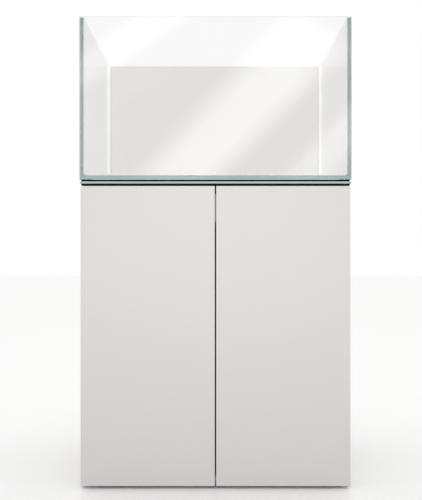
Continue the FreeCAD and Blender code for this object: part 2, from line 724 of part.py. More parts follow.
links = {"left": [], "right": []}
cup_pins = {"left": [], "right": []}
cup_screws = {"left": [], "right": []}
mounting_plates = {"left": [], "right": []}
for side_name, side in SIDES.items():
    for level_name, level in HINGE_LEVELS.items():
        name = f"{side_name}_{level_name}"
        arm_place = (*hinge_corner(side, *ARM_PIVOT), level)
        cup_place = (*hinge_corner(side, *CUP_PIVOT), level)
        arm_pin, cup_pin = (
            cylinder(f"{name}_{part}_pin", "Z", place, PIN_RADIUS, f"-Sizes.{part}_pin_reach", reach)
            for part, place, reach in (
                ("arm", arm_place, cell("arm_pin_reach")),
                ("cup", cup_place, cell("cup_pin_reach")),
            )
        )
        screw_across = f"{side} * ({HALF_CABINET} - Sizes.cup_screw_across)"
        door_screws = [
            stepped(
                f"{name}_cup_screw_{number}",
                "Y",
                (screw_across, f"{DOOR_BACK} + Sizes.flange_thickness", f"{level} + ({offset})"),
                [
                    (half("cup_screw_diameter"), "-Sizes.cup_screw_length", "-Sizes.cup_screw_head"),
                    (half("cup_screw_head_diameter"), "-Sizes.cup_screw_head", "0"),
                ],
            )
            for number, offset in enumerate(("Sizes.cup_screw_up", "-Sizes.cup_screw_up"))
        ]
        cup, cup_outside = hinge_cup(f"{name}_cup", side, level, cup_pin, door_screws)
        keep(cup, f"{name}_hinge_cup")
        door_tools[side_name] += [cup_outside, *door_screws]

        screw_y = f"{DOOR_BACK} - Sizes.plate_screw_deep"
        head = towards(side, f"{WING_TOP} - Sizes.plate_screw_head", WING_TOP)
        shank = towards(side, WING_TOP, f"{SIDE_INNER} + Sizes.plate_screw_bite")
        side_screws = [
            stepped(
                f"{name}_plate_screw_{number}",
                "X",
                ("0", screw_y, f"{level} + ({offset})"),
                [(half("plate_screw_head_diameter"), *head), (half("plate_screw_diameter"), *shank)],
            )
            for number, offset in enumerate(("Sizes.plate_screw_up", "-Sizes.plate_screw_up"))
        ]
        head = towards(side, f"{ARM_OUTER} - Sizes.arm_screw_head", ARM_OUTER)
        shank = towards(side, ARM_OUTER, f"{SIDE_INNER} - Sizes.arm_screw_clear")
        arm_screw = stepped(
            f"{name}_arm_screw",
            "X",
            ("0", f"{DOOR_BACK} - Sizes.arm_screw_deep", level),
            [(half("arm_screw_head_diameter"), *head), (half("arm_screw_diameter"), *shank)],
        )
        keep(hinge_arm(f"{name}_arm", side, level, arm_pin, arm_screw), f"{name}_hinge_arm")
        mounting_plates[side_name].append(
            mounting_plate(f"{name}_plate", side, level, [*side_screws, arm_screw])
        )
        links[side_name].append(hinge_link(f"{name}_link", side, level))
        side_tools[side_name] += side_screws
        cup_pins[side_name].append(cup_pin)
        cup_screws[side_name] += door_screws
        arm_pins.append(arm_pin)
        plate_screws += side_screws
        arm_screws.append(arm_screw)
    keep(group(f"{side_name}_link_pair", links[side_name]), f"{side_name}_hinge_links")
    keep(group(f"{side_name}_cup_pin_pair", cup_pins[side_name]), f"{side_name}_cup_pins")
    keep(group(f"{side_name}_cup_screw_set", cup_screws[side_name]), f"{side_name}_cup_screws")
    keep(group(f"{side_name}_plate_pair", mounting_plates[side_name]), f"{side_name}_mounting_plates")
keep(group("arm_pin_set", arm_pins), "hinge_arm_pins")
keep(group("plate_screw_set", plate_screws), "mounting_plate_screws")
keep(group("arm_screw_set", arm_screws), "hinge_arm_screws")

# ---------------------------------------------------------------------------------------------
# Push latches
# ---------------------------------------------------------------------------------------------

BARREL_FACE = f"({CARCASS_FRONT} - Sizes.barrel_flange)"
BORE_END = f"({BARREL_FACE} + Sizes.barrel_length - Sizes.barrel_end)"
PLUNGER_END = f"({DOOR_BACK} + Sizes.plunger_gap + Sizes.plunger_length)"


def latch_spring(name, across):
    """A coil spring between the plunger's end and the bottom of the bore."""
    coil = doc.addObject("Part::Helix", f"{name}_coil")
    coil.setExpression("Radius", cell("spring_radius"))
    coil.setExpression("Pitch", cell("spring_pitch"))
    coil.setExpression("Height", f"{BORE_END} - {PLUNGER_END} - 2 * Sizes.spring_wire")
    wire = doc.addObject("Part::Circle", f"{name}_wire")
    wire.setExpression("Radius", half("spring_wire"))
    wire.Placement.Rotation = FreeCAD.Rotation(FreeCAD.Vector(1, 0, 0), 90)
    wire.setExpression("Placement.Base.x", cell("spring_radius"))
    spring = doc.addObject("Part::Sweep", name)
    spring.Sections = [wire]
    spring.Spine = (coil, [])
    spring.Solid = True
    spring.Frenet = True
    spring.Placement.Rotation = AXIS_TURNS["Y"]
    spring.setExpression("Placement.Base.x", across)
    spring.setExpression("Placement.Base.y", f"{PLUNGER_END} + Sizes.spring_wire")
    spring.setExpression("Placement.Base.z", LATCH_UP)
    return spring


barrels = []
for side_name, side in SIDES.items():
    across = f"{side} * Sizes.latch_across"
    place = (across, BARREL_FACE, LATCH_UP)
    barrel = stepped(
        f"{side_name}_barrel",
        "Y",
        place,
        [
            (half("barrel_flange_diameter"), "0", cell("barrel_flange")),
            (half("barrel_diameter"), cell("barrel_flange"), cell("barrel_length")),
        ],
    )
    barrels.append(barrel)
    bore_radius = f"{half('plunger_diameter')} + Sizes.pin_play"
    bore_reach = ("0", f"{BORE_END} - {BARREL_FACE}")
    bore = cylinder(f"{side_name}_barrel_bore", "Y", place, bore_radius, *bore_reach)
    keep(cut(f"{side_name}_housing", barrel, [bore]), f"{side_name}_latch_housing")
    door_face = (across, DOOR_BACK, LATCH_UP)
    stem = (half("plunger_diameter"), cell("plunger_gap"), f"{PLUNGER_END} - {DOOR_BACK}")
    plunger = cylinder(f"{side_name}_plunger_stem", "Y", door_face, *stem)
    keep(plunger, f"{side_name}_latch_plunger")
    keep(latch_spring(f"{side_name}_spring", across), f"{side_name}_latch_spring")
    strike = stepped(
        f"{side_name}_strike",
        "Y",
        door_face,
        [
            (half("spigot_diameter"), "-Sizes.spigot_length", "0"),
            (half("strike_diameter"), "0", cell("strike_thickness")),
        ],
    )
    keep(strike, f"{side_name}_strike_plate")
    door_tools[side_name].append(strike)

# ---------------------------------------------------------------------------------------------
# Levelling feet and their inserts
# ---------------------------------------------------------------------------------------------

inserts, insert_rooms = [], []
for side_name, side in SIDES.items():
    for depth_name, depth in (("front", "foot_front"), ("rear", "foot_rear")):
        name = f"{depth_name}_{side_name}"
        place = (f"{side} * Sizes.foot_across", cell(depth), "0")
        room = (half("insert_diameter"), cell("floor_gap"), BOTTOM_TOP)
        insert_rooms.append(cylinder(f"{name}_insert_room", "Z", place, *room))
        reach = (cell("floor_gap"), cell("insert_top"))
        blank = cylinder(f"{name}_insert_blank", "Z", place, half("insert_diameter"), *reach)
        bore_radius = f"{half('stem_diameter')} + Sizes.pin_play"
        bore = cylinder(f"{name}_insert_bore", "Z", place, bore_radius, *reach)
        inserts.append(cut(f"{name}_insert", blank, [bore]))
        foot = stepped(
            f"{name}_foot",
            "Z",
            place,
            [
                (half("foot_diameter"), "0", cell("foot_pad")),
                (half("stem_diameter"), cell("foot_pad"), cell("stem_top")),
            ],
        )
        keep(foot, f"{name}_foot")
keep(group("insert_set", inserts), "foot_inserts")

# ---------------------------------------------------------------------------------------------
# Cabinet boards, bored for the fittings that sit in them
# ---------------------------------------------------------------------------------------------

cabinet_top = box_board(
    "cabinet_top",
    (f"-{HALF_CABINET}", f"{CARCASS_FRONT} + Sizes.edge_band", SIDES_TOP),
    (HALF_CABINET, CARCASS_BACK, CARCASS_TOP),
)
keep(cut("cabinet_top", cabinet_top, [cam_bolts, wood_dowels, back_screws]), "cabinet_top")
keep(
    box_board(
        "top_edge_band",
        (f"-{HALF_CABINET}", CARCASS_FRONT, SIDES_TOP),
        (HALF_CABINET, f"{CARCASS_FRONT} + Sizes.edge_band", CARCASS_TOP),
    ),
    "top_edge_band",
)

cabinet_bottom = box_board(
    "cabinet_bottom",
    (f"-{SIDE_INNER}", CARCASS_FRONT, cell("floor_gap")),
    (SIDE_INNER, CARCASS_BACK, BOTTOM_TOP),
)
bottom_tools = [cam_locks, cam_bolts, wood_dowels, back_screws, *insert_rooms]
keep(cut("cabinet_bottom", cabinet_bottom, bottom_tools), "cabinet_bottom")

for side_name, side in SIDES.items():
    low_across, high_across = towards(side, SIDE_INNER, HALF_CABINET)
    panel = box_board(
        f"cabinet_{side_name}_side",
        (low_across, CARCASS_FRONT, cell("floor_gap")),
        (high_across, CARCASS_BACK, SIDES_TOP),
    )
    tools = [cam_locks, cam_bolts, wood_dowels, back_screws, *side_tools[side_name]]
    keep(cut(f"cabinet_{side_name}_side", panel, tools), f"cabinet_{side_name}_side")

front_rail = box_board(
    "front_rail",
    (f"-{SIDE_INNER}", CARCASS_FRONT, RAIL_BASE),
    (SIDE_INNER, RAIL_BACK, SIDES_TOP),
)
keep(cut("front_rail", front_rail, [cam_locks, cam_bolts, wood_dowels, *barrels]), "front_rail")

PORT_RADIUS = half("port_diameter")
ports = [
    ("-Sizes.hose_port_across", "Sizes.hose_port_up", PORT_RADIUS),
    ("Sizes.hose_port_across", "Sizes.hose_port_up", PORT_RADIUS),
]
back_outline = rectangle(f"-{HALF_CABINET}", cell("floor_gap"), HALF_CABINET, CARCASS_TOP)
cabinet_back = slab(
    "cabinet_back",
    "XZ_Plane",
    f"-{CABINET_BACK}",
    cell("back_board"),
    [back_outline],
    ports,
)
keep(cut("cabinet_back", cabinet_back, [back_screws]), "cabinet_back")

# ---------------------------------------------------------------------------------------------
# Doors
# ---------------------------------------------------------------------------------------------

DOOR_TOP = f"({CARCASS_TOP} - Sizes.door_top_gap)"
door_face = -size["cabinet_depth"] / 2


def on_door_face(edge):
    """The four edges around a door's outer face."""
    return edge.BoundBox.YLength < TOUCH and abs(edge.BoundBox.YMin - door_face) < TOUCH


for side_name, side in SIDES.items():
    free, hung = f"{side} * Sizes.door_gap / 2", f"{side} * {HALF_CABINET}"
    leaf = slab(
        f"{side_name}_door_leaf",
        "XZ_Plane",
        f"-{DOOR_BACK}",
        cell("board"),
        [rectangle(free, cell("floor_gap"), hung, DOOR_TOP)],
    )
    round_edges(leaf, f"{side_name}_door_round", cell("door_round"), on_door_face)
    keep(cut(f"{side_name}_door", leaf, door_tools[side_name]), f"{side_name}_door")

# ---------------------------------------------------------------------------------------------
# Check and write
# ---------------------------------------------------------------------------------------------

doc.recompute()
failed = [item.Name for item in doc.Objects if {"Invalid", "Error"} & set(item.State)]
if failed:
    raise RuntimeError(f"failed objects: {failed}")
for node in nodes:
    if node.Shape.isNull() or not node.Shape.isValid() or not node.Shape.Solids:
        raise RuntimeError(f"bad shape: {node.Label}")

os.makedirs("parts", exist_ok=True)
for node in nodes:
    node.Shape.exportStep(f"parts/{node.Label}.step")
    box = node.Shape.BoundBox
    print(f"{node.Label}: {len(node.Shape.Solids)} solids, {node.Shape.Volume:.0f} mm3, {box}")
print(len(nodes), "nodes")
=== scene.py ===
# %% [markdown]
# # A rimless aquarium on a white cabinet
#
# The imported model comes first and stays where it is. It says where each board, pane and hinge
# lies. This notebook gives every piece its real surface: float glass with polished edges, clear
# silicone, closed-cell foam, white gloss lacquer, nickel, zinc and moulded plastic.

import json
import math

import bmesh
import bpy
from mathutils import Matrix, Vector, noise


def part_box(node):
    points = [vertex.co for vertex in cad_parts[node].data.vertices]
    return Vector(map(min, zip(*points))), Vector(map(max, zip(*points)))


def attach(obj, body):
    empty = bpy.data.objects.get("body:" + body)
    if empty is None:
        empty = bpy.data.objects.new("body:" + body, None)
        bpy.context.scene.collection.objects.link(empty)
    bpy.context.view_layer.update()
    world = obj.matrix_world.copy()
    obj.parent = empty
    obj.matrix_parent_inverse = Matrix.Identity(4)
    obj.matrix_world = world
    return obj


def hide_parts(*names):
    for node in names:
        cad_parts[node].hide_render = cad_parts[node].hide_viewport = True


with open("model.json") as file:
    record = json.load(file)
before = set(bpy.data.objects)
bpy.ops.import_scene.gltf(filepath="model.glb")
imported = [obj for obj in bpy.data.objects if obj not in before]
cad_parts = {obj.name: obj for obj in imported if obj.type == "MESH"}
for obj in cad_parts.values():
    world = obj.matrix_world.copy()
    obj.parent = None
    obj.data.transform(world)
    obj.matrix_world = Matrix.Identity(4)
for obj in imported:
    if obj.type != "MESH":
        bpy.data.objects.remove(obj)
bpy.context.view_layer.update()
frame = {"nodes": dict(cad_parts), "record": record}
nodes = frame["nodes"]
subparts = frame["record"]["subparts"]
slot_of = {part["node"]: part["material_slot"] for part in subparts}
bodies = frame["record"]["behaviour"]["bodies"]
body_of = {node: body for body, members in bodies.items() for node in members}

# %% [markdown]
# ## Sums instead of webs
#
# A finish is easier to read as a sum than as a web of boxes. `Value` wraps one socket and turns
# Python's operators into Math nodes. Drawing the boxes by hand would give the same tree, but a
# line such as `0.04 + 0.96 * facing ** 5` says at once what it does. The same class serves the
# shader trees and the geometry trees, because both have the same Math node.

# %% Values that Python can calculate with


class Value:
    """A socket that gives a number, a vector or a colour."""

    def __init__(self, tree, socket):
        self.tree = tree
        self.socket = socket

    def maths(self, operation, *operands):
        node = self.tree.nodes.new("ShaderNodeMath")
        node.operation = operation
        for socket, operand in zip(node.inputs, operands):
            plug(self.tree, operand, socket)
        return Value(self.tree, node.outputs[0])

    def __add__(self, other):
        return self.maths("ADD", self, other)

    def __radd__(self, other):
        return self.maths("ADD", other, self)

    def __sub__(self, other):
        return self.maths("SUBTRACT", self, other)

    def __rsub__(self, other):
        return self.maths("SUBTRACT", other, self)

    def __mul__(self, other):
        return self.maths("MULTIPLY", self, other)

    def __rmul__(self, other):
        return self.maths("MULTIPLY", other, self)

    def __truediv__(self, other):
        return self.maths("DIVIDE", self, other)

    def __pow__(self, other):
        return self.maths("POWER", self, other)

    def __abs__(self):
        return self.maths("ABSOLUTE", self)

    def __gt__(self, other):
        return self.maths("GREATER_THAN", self, other)

    def held(self):
        """The number kept between 0 and 1."""
        return self.maths("MINIMUM", self.maths("MAXIMUM", self, 0.0), 1.0)


def plug(tree, value, socket):
    """Links a value to a socket, or sets the socket to a plain number or colour."""
    if isinstance(value, Value):
        tree.links.new(value.socket, socket)
    elif isinstance(value, tuple) and len(value) == 3 and socket.type == "RGBA":
        socket.default_value = (*value, 1.0)
    else:
        socket.default_value = value


def add_node(tree, kind, sockets, settings, output):
    """Adds one node. Its settings come first, because they decide which sockets it has."""
    node = tree.nodes.new(kind)
    for name, value in (settings or {}).items():
        setattr(node, name, value)
    for key, value in (sockets or {}).items():
        plug(tree, value, node.inputs[key])
    return Value(tree, node.outputs[output])


# %% [markdown]
# A finish is one material. `Finish` starts it empty, reads places in metres from the piece's own
# axes, and has one method for each thing that the finishes below are made of: noise, a blend of
# two colours, relief and the main shader. Building every tree node by node would work as well,
# but the same ten lines would then come back in every finish.

# %% Finishes


class Finish:
    """One material and the nodes that make it."""

    def __init__(self, name):
        self.material = bpy.data.materials.new(name)
        self.material.use_nodes = True
        self.tree = self.material.node_tree
        self.tree.nodes.clear()
        self.output = self.tree.nodes.new("ShaderNodeOutputMaterial")
        self.place = self.node("TexCoord", output="Object")

    def node(self, kind, sockets=None, settings=None, output=0):
        return add_node(self.tree, f"ShaderNode{kind}", sockets, settings, output)

    def stretched(self, x, y, z):
        """The place with each axis scaled, for a pattern that is longer one way."""
        return self.node("Mapping", {"Vector": self.place, "Scale": (x, y, z)})

    def clouds(self, scale, detail=2.0, place=None):
        """Soft noise between 0 and 1. scale is in features to the metre."""
        sockets = {"Vector": place or self.place, "Scale": scale, "Detail": detail}
        return self.node("TexNoise", sockets)

    def blend(self, factor, first, second):
        """A colour between two others."""
        colours = {0: factor, 6: first, 7: second}
        return self.node("Mix", colours, {"data_type": "RGBA"}, output=2)

    def bump(self, height, strength, distance):
        """Relief that only the light sees. distance is the height of a full step, in metres."""
        return self.node("Bump", {"Height": height, "Strength": strength, "Distance": distance})

    def principled(self, **sockets):
        """The main shader. Underscores in the names stand for spaces."""
        named = {name.replace("_", " "): value for name, value in sockets.items()}
        return self.node("BsdfPrincipled", named)

    def mixed(self, factor, first, second):
        """Two shaders in one surface. factor is the second one's share."""
        return self.node("MixShader", {0: factor, 1: first, 2: second})

    def done(self, shader):
        """Joins the shader to the output and gives back the finished material."""
        plug(self.tree, shader, self.output.inputs["Surface"])
        print("finish", self.material.name, len(self.tree.nodes), "nodes")
        return self.material


# %% [markdown]
# ## Rules that grow shapes
#
# Panes, beads, screws, threads and ribs all follow a rule, so Geometry Nodes make them. `Rule`
# holds one tree with named inputs for its sizes. `grow` runs it once and keeps a plain mesh,
# because the pieces have to be plain before they join the frame. Modelling each by hand would
# also work, but then a change of size means doing it again.

# %% Geometry rules


class Rule:
    """One geometry tree, its named inputs and what it makes."""

    KINDS = {float: "NodeSocketFloat", int: "NodeSocketInt", tuple: "NodeSocketVector"}

    def __init__(self, name, materials=1, **inputs):
        self.tree = bpy.data.node_groups.new(name, "GeometryNodeTree")
        panel = self.tree.interface
        panel.new_socket("Geometry", in_out="OUTPUT", socket_type="NodeSocketGeometry")
        panel.new_socket("Geometry", in_out="INPUT", socket_type="NodeSocketGeometry")
        for label, start in inputs.items():
            socket = panel.new_socket(label, in_out="INPUT", socket_type=self.KINDS[type(start)])
            socket.default_value = start
        for number in range(materials):
            label = f"material_{number}"
            panel.new_socket(label, in_out="INPUT", socket_type="NodeSocketMaterial")
        self.entry = self.tree.nodes.new("NodeGroupInput")

    def given(self, label):
        return Value(self.tree, self.entry.outputs[label])

    def node(self, kind, sockets=None, settings=None, output=0):
        return add_node(self.tree, f"GeometryNode{kind}", sockets, settings, output)

    def function(self, kind, sockets=None, settings=None, output=0):
        return add_node(self.tree, f"FunctionNode{kind}", sockets, settings, output)

    def vector(self, x=0.0, y=0.0, z=0.0):
        sockets = {"X": x, "Y": y, "Z": z}
        return add_node(self.tree, "ShaderNodeCombineXYZ", sockets, None, 0)

    def vector_maths(self, operation, *operands, output=0):
        sockets = dict(enumerate(operands))
        settings = {"operation": operation}
        return add_node(self.tree, "ShaderNodeVectorMath", sockets, settings, output)

    def looking(self, direction):
        """How far each face looks along a direction: 1 is straight along it."""
        normal = self.node("InputNormal")
        return self.vector_maths("DOT_PRODUCT", normal, direction, output=1)

    def joined(self, *parts):
        """Several geometries as one."""
        join = self.tree.nodes.new("GeometryNodeJoinGeometry")
        for part in parts:
            self.tree.links.new(part.socket, join.inputs[0])
        return Value(self.tree, join.outputs[0])

    def end(self, geometry, *selections):
        """Realizes the instances and gives the materials, each further one to a selection.

        Where two selections hold the same face, the later one wins.
        """
        solid = self.node("RealizeInstances", {"Geometry": geometry})
        solid = self.node("SetMaterial", {"Geometry": solid, "Material": self.given("material_0")})
        for number, selection in enumerate(selections, start=1):
            chosen = {"Selection": selection, "Material": self.given(f"material_{number}")}
            solid = self.node("SetMaterial", {"Geometry": solid, **chosen})
        out = self.tree.nodes.new("NodeGroupOutput")
        self.tree.links.new(solid.socket, out.inputs[0])
        print("rule", self.tree.name, len(self.tree.nodes), "nodes")


# %% [markdown]
# A few steps come back with every piece: a finished shape becomes a mesh with its materials, the
# mesh an object at the origin, and the object takes the place of the frame's plain solid. Each
# step is one helper.

# %% From a shape to a piece of the frame
def finished_mesh(name, shape, *materials):
    """A mesh from a finished bmesh, with its materials in order."""
    mesh = bpy.data.meshes.new(name)
    shape.to_mesh(mesh)
    shape.free()
    for material in materials:
        mesh.materials.append(material)
    return mesh


def plain_object(name, mesh):
    """An object at the origin, unturned and unscaled, around a finished mesh."""
    piece = bpy.data.objects.new(name, mesh)
    bpy.context.scene.collection.objects.link(piece)
    return piece


def grow(name, rule, materials, host=None, **inputs):
    """Runs a rule once on a host mesh and returns its result as a plain object."""
    seed = plain_object(f"{name}_seed", host or bpy.data.meshes.new(f"{name}_seed"))
    modifier = seed.modifiers.new("rule", "NODES")
    modifier.node_group = rule.tree
    panel = rule.tree.interface.items_tree
    sockets = {item.name: item.identifier for item in panel if item.in_out == "INPUT"}
    for number, material in enumerate(materials):
        modifier[sockets[f"material_{number}"]] = material
    for label, value in inputs.items():
        modifier[sockets[label]] = value
    graph = bpy.context.evaluated_depsgraph_get()
    mesh = bpy.data.meshes.new_from_object(seed.evaluated_get(graph), depsgraph=graph)
    bpy.data.objects.remove(seed)
    mesh.name = name
    piece = plain_object(name, mesh)
    print("grown", name, len(mesh.polygons), "faces")
    return piece


def stand_in(piece, *cad_nodes):
    """Puts a piece on the body of the nodes that it stands for, and hides those nodes."""
    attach(piece, body_of[cad_nodes[0]])
    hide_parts(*cad_nodes)


def smooth(piece, degrees=35):
    """Smooth shading, with edges kept where faces meet at more than an angle."""
    mesh = piece.data
    mesh.shade_smooth()
    mesh.set_sharp_from_angle(angle=math.radians(degrees))


def middle(low, high):
    return tuple((a + b) / 2 for a, b in zip(low, high))


def size_and_middle(node):
    """A node's size and middle, as the inputs of a rule that fills the node's box."""
    low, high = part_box(node)
    return {"Size": tuple(b - a for a, b in zip(low, high)), "Middle": middle(low, high)}


print("front pane", size_and_middle("tank_front_pane")["Size"])


# %% [markdown]
# ## Camera and studio
#
# The camera stands level in front of the doors, a little under the tank. The studio is a plain
# white room with an even glow from all round, which keeps the shadows pale.

# %% Camera
LENS = 59.3
SENSOR = 36.0
CAMERA_PLACE = (-0.0099, -2.066, 0.5275)
scene = bpy.context.scene
camera_data = bpy.data.cameras.new("camera")
camera_data.lens = LENS
camera_data.sensor_width = SENSOR
camera = bpy.data.objects.new("camera", camera_data)
camera.location = CAMERA_PLACE
camera.rotation_euler = (math.radians(90), 0, 0)
scene.collection.objects.link(camera)
scene.camera = camera
scene.view_settings.view_transform = "Standard"
print("camera", CAMERA_PLACE, LENS)

# %% [markdown]
# The room is one even glow. The camera sees it as pure white, and the object is lit by a faintly
# warm white. Walls lit by lamps would also do, but they take many more samples to come out even.

# %% White room
WHITE, GLOW_COLOUR = (1.0, 1.0, 1.0), (1.0, 0.995, 0.99)
world = bpy.data.worlds.new("studio")
world.use_nodes = True
scene.world = world
room = world.node_tree
room.nodes.clear()
seen = add_node(room, "ShaderNodeBackground", {"Color": WHITE, "Strength": 1.0}, None, 0)
glow = add_node(room, "ShaderNodeBackground", {"Color": GLOW_COLOUR, "Strength": 1.0}, None, 0)
to_camera = add_node(room, "ShaderNodeLightPath", None, None, "Is Camera Ray")
both = add_node(room, "ShaderNodeMixShader", {0: to_camera, 1: glow, 2: seen}, None, 0)
plug(room, both, room.nodes.new("ShaderNodeOutputWorld").inputs["Surface"])
print("world", len(room.nodes), "nodes")

# %% [markdown]
# One lamp stands behind the camera and aims at the upper half of the doors. Its cone has no
# edge, so the doors darken softly towards the floor. An area lamp would light them too, but its
# glow spreads over the floor as well. Reflections don't see the lamp, because its round face
# would show in the glass.

# %% Soft light
AIM = Vector((0.0, -0.25, 0.56))
LAMP_PLACE = (0.0, -3.4, 1.5)
CONE_DEGREES, CONE_WIDENED = 21, 1.9
lamp_data = bpy.data.lights.new("soft_light", "SPOT")
lamp_data.energy = 215.0
lamp_data.color = (1.0, 0.99, 0.985)
lamp_data.shadow_soft_size = 0.5
lamp_data.spot_size = math.radians(CONE_DEGREES)
lamp_data.spot_blend = 1.0
lamp = bpy.data.objects.new("soft_light", lamp_data)
lamp.location = LAMP_PLACE
lamp.scale = (CONE_WIDENED, 1.0, 1.0)
lamp.visible_glossy = False
lamp.rotation_euler = (AIM - lamp.location).to_track_quat("-Z", "Y").to_euler()
scene.collection.objects.link(lamp)
print("soft light", lamp_data.energy, "W")

# %% [markdown]
# The floor is pale and slightly polished, so that the cabinet's foot shows in it faintly. It is
# staging, not part of the object, and lies a hair under the feet so that no two faces share a
# plane.

# %% Floor
FLOOR_SIZE, FLOOR_LEVEL = 30, -0.0002
bpy.ops.mesh.primitive_plane_add(size=FLOOR_SIZE, location=(0, 0, FLOOR_LEVEL))
floor = bpy.context.active_object
floor.name = "floor"
finish = Finish("pale_floor")
tone = finish.blend(finish.clouds(3.0), (0.93, 0.93, 0.93), (0.95, 0.95, 0.95))
floor.data.materials.append(finish.done(finish.principled(Base_Color=tone, Roughness=0.3)))
print("floor", FLOOR_SIZE, "m")

# %% [markdown]
# ## Light strips in the front pane
#
# Clean glass shows mostly what it mirrors. In a studio those are long lamps with soft edges,
# which lie as pale slanting bands across the front pane. A band could be painted on the glass,
# but it would then stay put when the view turns. Here each band is a glowing card out in the
# room, seen only in reflections, so it moves over the glass as a real one does.

# %% Light strips
CARD_DISTANCE = 3.0
CARD_CUTS = 12
SIDE_FADE, END_FADE = 0.3, 0.12
PANE_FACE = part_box("tank_front_pane")[0][1]
EYE = Vector(CAMERA_PLACE)
SPREAD = 1 + CARD_DISTANCE / (PANE_FACE - EYE.y)


def mirrored(across, up):
    """Where in the room the camera sees a card, mirrored at a spot on the front pane."""
    sideways, upwards = (across - EYE.x) * SPREAD, (up - EYE.z) * SPREAD
    return Vector((EYE.x + sideways, PANE_FACE - CARD_DISTANCE, EYE.z + upwards))


def light_strip(name, corners, strength):
    """A card between four spots on the pane: two along its start and two along its end."""
    shape = bmesh.new()
    spots = [shape.verts.new(mirrored(*corner)) for corner in corners]
    face = shape.faces.new(spots)
    layer = shape.loops.layers.uv.new("across")
    for loop, uv in zip(face.loops, ((0, 0), (1, 0), (1, 1), (0, 1))):
        loop[layer].uv = uv
    bmesh.ops.subdivide_edges(shape, edges=shape.edges[:], cuts=CARD_CUTS, use_grid_fill=True)
    strip = Finish(name)
    along = strip.node("UVMap", None, {"uv_map": "across"})
    parts = strip.node("SeparateXYZ", {"Vector": along})
    u, v = (Value(strip.tree, socket) for socket in list(parts.socket.node.outputs)[:2])
    side = (0.5 - abs(u - 0.5)) / SIDE_FADE
    end = (0.5 - abs(v - 0.5)) / END_FADE
    lit = side.held() * end.held()
    glow_light = strip.node("Emission", {"Color": (1.0, 0.99, 0.985), "Strength": strength})
    clear = strip.node("BsdfTransparent")
    material = strip.done(strip.mixed(lit, clear, glow_light))
    card = plain_object(name, finished_mesh(name, shape, material))
    card.visible_camera = False
    card.visible_diffuse = False
    card.visible_shadow = False


light_strip("strip_main", ((-0.225, 0.66), (0.0, 0.66), (0.33, 0.98), (0.16, 1.08)), 2.8)
light_strip("strip_corner", ((-0.33, 0.84), (-0.33, 0.95), (-0.14, 1.08), (0.01, 1.08)), 2.0)
light_strip("strip_low", ((0.10, 0.66), (0.245, 0.66), (0.33, 0.77), (0.33, 0.90)), 2.0)

# %% [markdown]
# ## Float glass
#
# A pane is a sheet with two broad faces and a polished edge all round. Light goes straight
# through the broad faces, less a little that they mirror, and more of it when they are seen at a
# slant. A true refracting solid would also work, but it turns the edges black where no light
# finds its way out, and it renders slowly. So the broad faces mix a clear shader with a mirror,
# and the edges have a finish of their own: the green-grey of looking along the sheet.
#
# Only a pane's outer face holds its tint, and the inner one stays nearly clear. Otherwise the
# strips where two panes meet would be tinted twice. The front pane mirrors the most, since its
# reflections are the ones that lie across the tank.

# %% Broad faces
def glass_face(name, tint, straight_mirror, slant_mirror=0.16):
    """A broad face: clear, with a mirror that grows towards a slanting view."""
    glass = Finish(name)
    slant = glass.node("LayerWeight", {"Blend": 0.5}, output="Facing")
    mirror = straight_mirror + slant_mirror * slant**5
    film = glass.clouds(9.0)
    clear = glass.node("BsdfTransparent", {"Color": tint})
    gloss = glass.node("BsdfAnisotropic", {"Color": WHITE, "Roughness": 0.01 + 0.03 * film})
    return glass.done(glass.mixed(mirror, clear, gloss))


CLEAR = (0.982, 0.982, 0.981)
wall_face = glass_face("clear_pane_face", (0.955, 0.955, 0.954), 0.08)
side_face = glass_face("side_pane_face", (0.85, 0.832, 0.826), 0.015)
back_face = glass_face("back_pane_face", (0.80, 0.775, 0.768), 0.01)
floor_face = glass_face("floor_pane_face", CLEAR, 0.008, 0.04)
inner_face = glass_face("inner_pane_face", CLEAR, 0.01)

# %% [markdown]
# Seen along the sheet, glass is green. The walls, the bottom pane and the plate each have their
# own pair of greens, one deep and one pale. Noise drawn out along the edge sets how much of each
# shows.


# %% Polished edges
def glass_edge(name, deep, pale):
    """A polished edge: bands of green that run along it, and a wet gloss."""
    edge = Finish(name)
    bands = edge.clouds(6.0, 1.0, edge.stretched(1.0, 1.0, 40.0))
    drift = edge.clouds(2.2, 1.0)
    mixed = (0.55 * bands + 0.75 * drift - 0.15).held()
    colour = edge.blend(mixed, deep, pale)
    polish = edge.bump(edge.clouds(120.0, 2.0), 0.1, 0.0002)
    rough = 0.08 + 0.1 * drift
    return edge.done(
        edge.principled(Base_Color=colour, Roughness=rough, Normal=polish, Coat_Weight=0.6)
    )


wall_edge = glass_edge("wall_edge_green", (0.20, 0.305, 0.305), (0.28, 0.38, 0.38))
floor_edge = glass_edge("floor_edge_green", (0.17, 0.29, 0.28), (0.32, 0.41, 0.405))
plate_edge = glass_edge("plate_edge_green", (0.27, 0.395, 0.39), (0.38, 0.49, 0.485))

# %% [markdown]
# The rim and the edges that lie against another pane aren't solid green. Straight on, the rim
# closes over with green, and at a slant it lets the room through. A hidden edge does the
# opposite. Both are a mix of clear and green, with the viewing slant as the factor.

# %% Edges that let light through
SLANT_FROM, SLANT_OVER = 0.58, 0.12


def thin_edge(name, deep, pale, straight, slanting):
    """An edge that lets light through, more or less of it by how far it is seen at a slant."""
    edge = Finish(name)
    drift = edge.clouds(5.0, 1.0)
    tone = edge.blend(drift, deep, pale)
    slant = edge.node("LayerWeight", {"Blend": 0.5}, output="Facing")
    cover = straight + (slanting - straight) * ((slant - SLANT_FROM) / SLANT_OVER).held()
    green = edge.principled(Base_Color=tone, Roughness=0.1 + 0.1 * drift, Coat_Weight=0.5)
    clear = edge.node("BsdfTransparent", {"Color": (0.97, 0.985, 0.98)})
    return edge.done(edge.mixed(cover, clear, green))


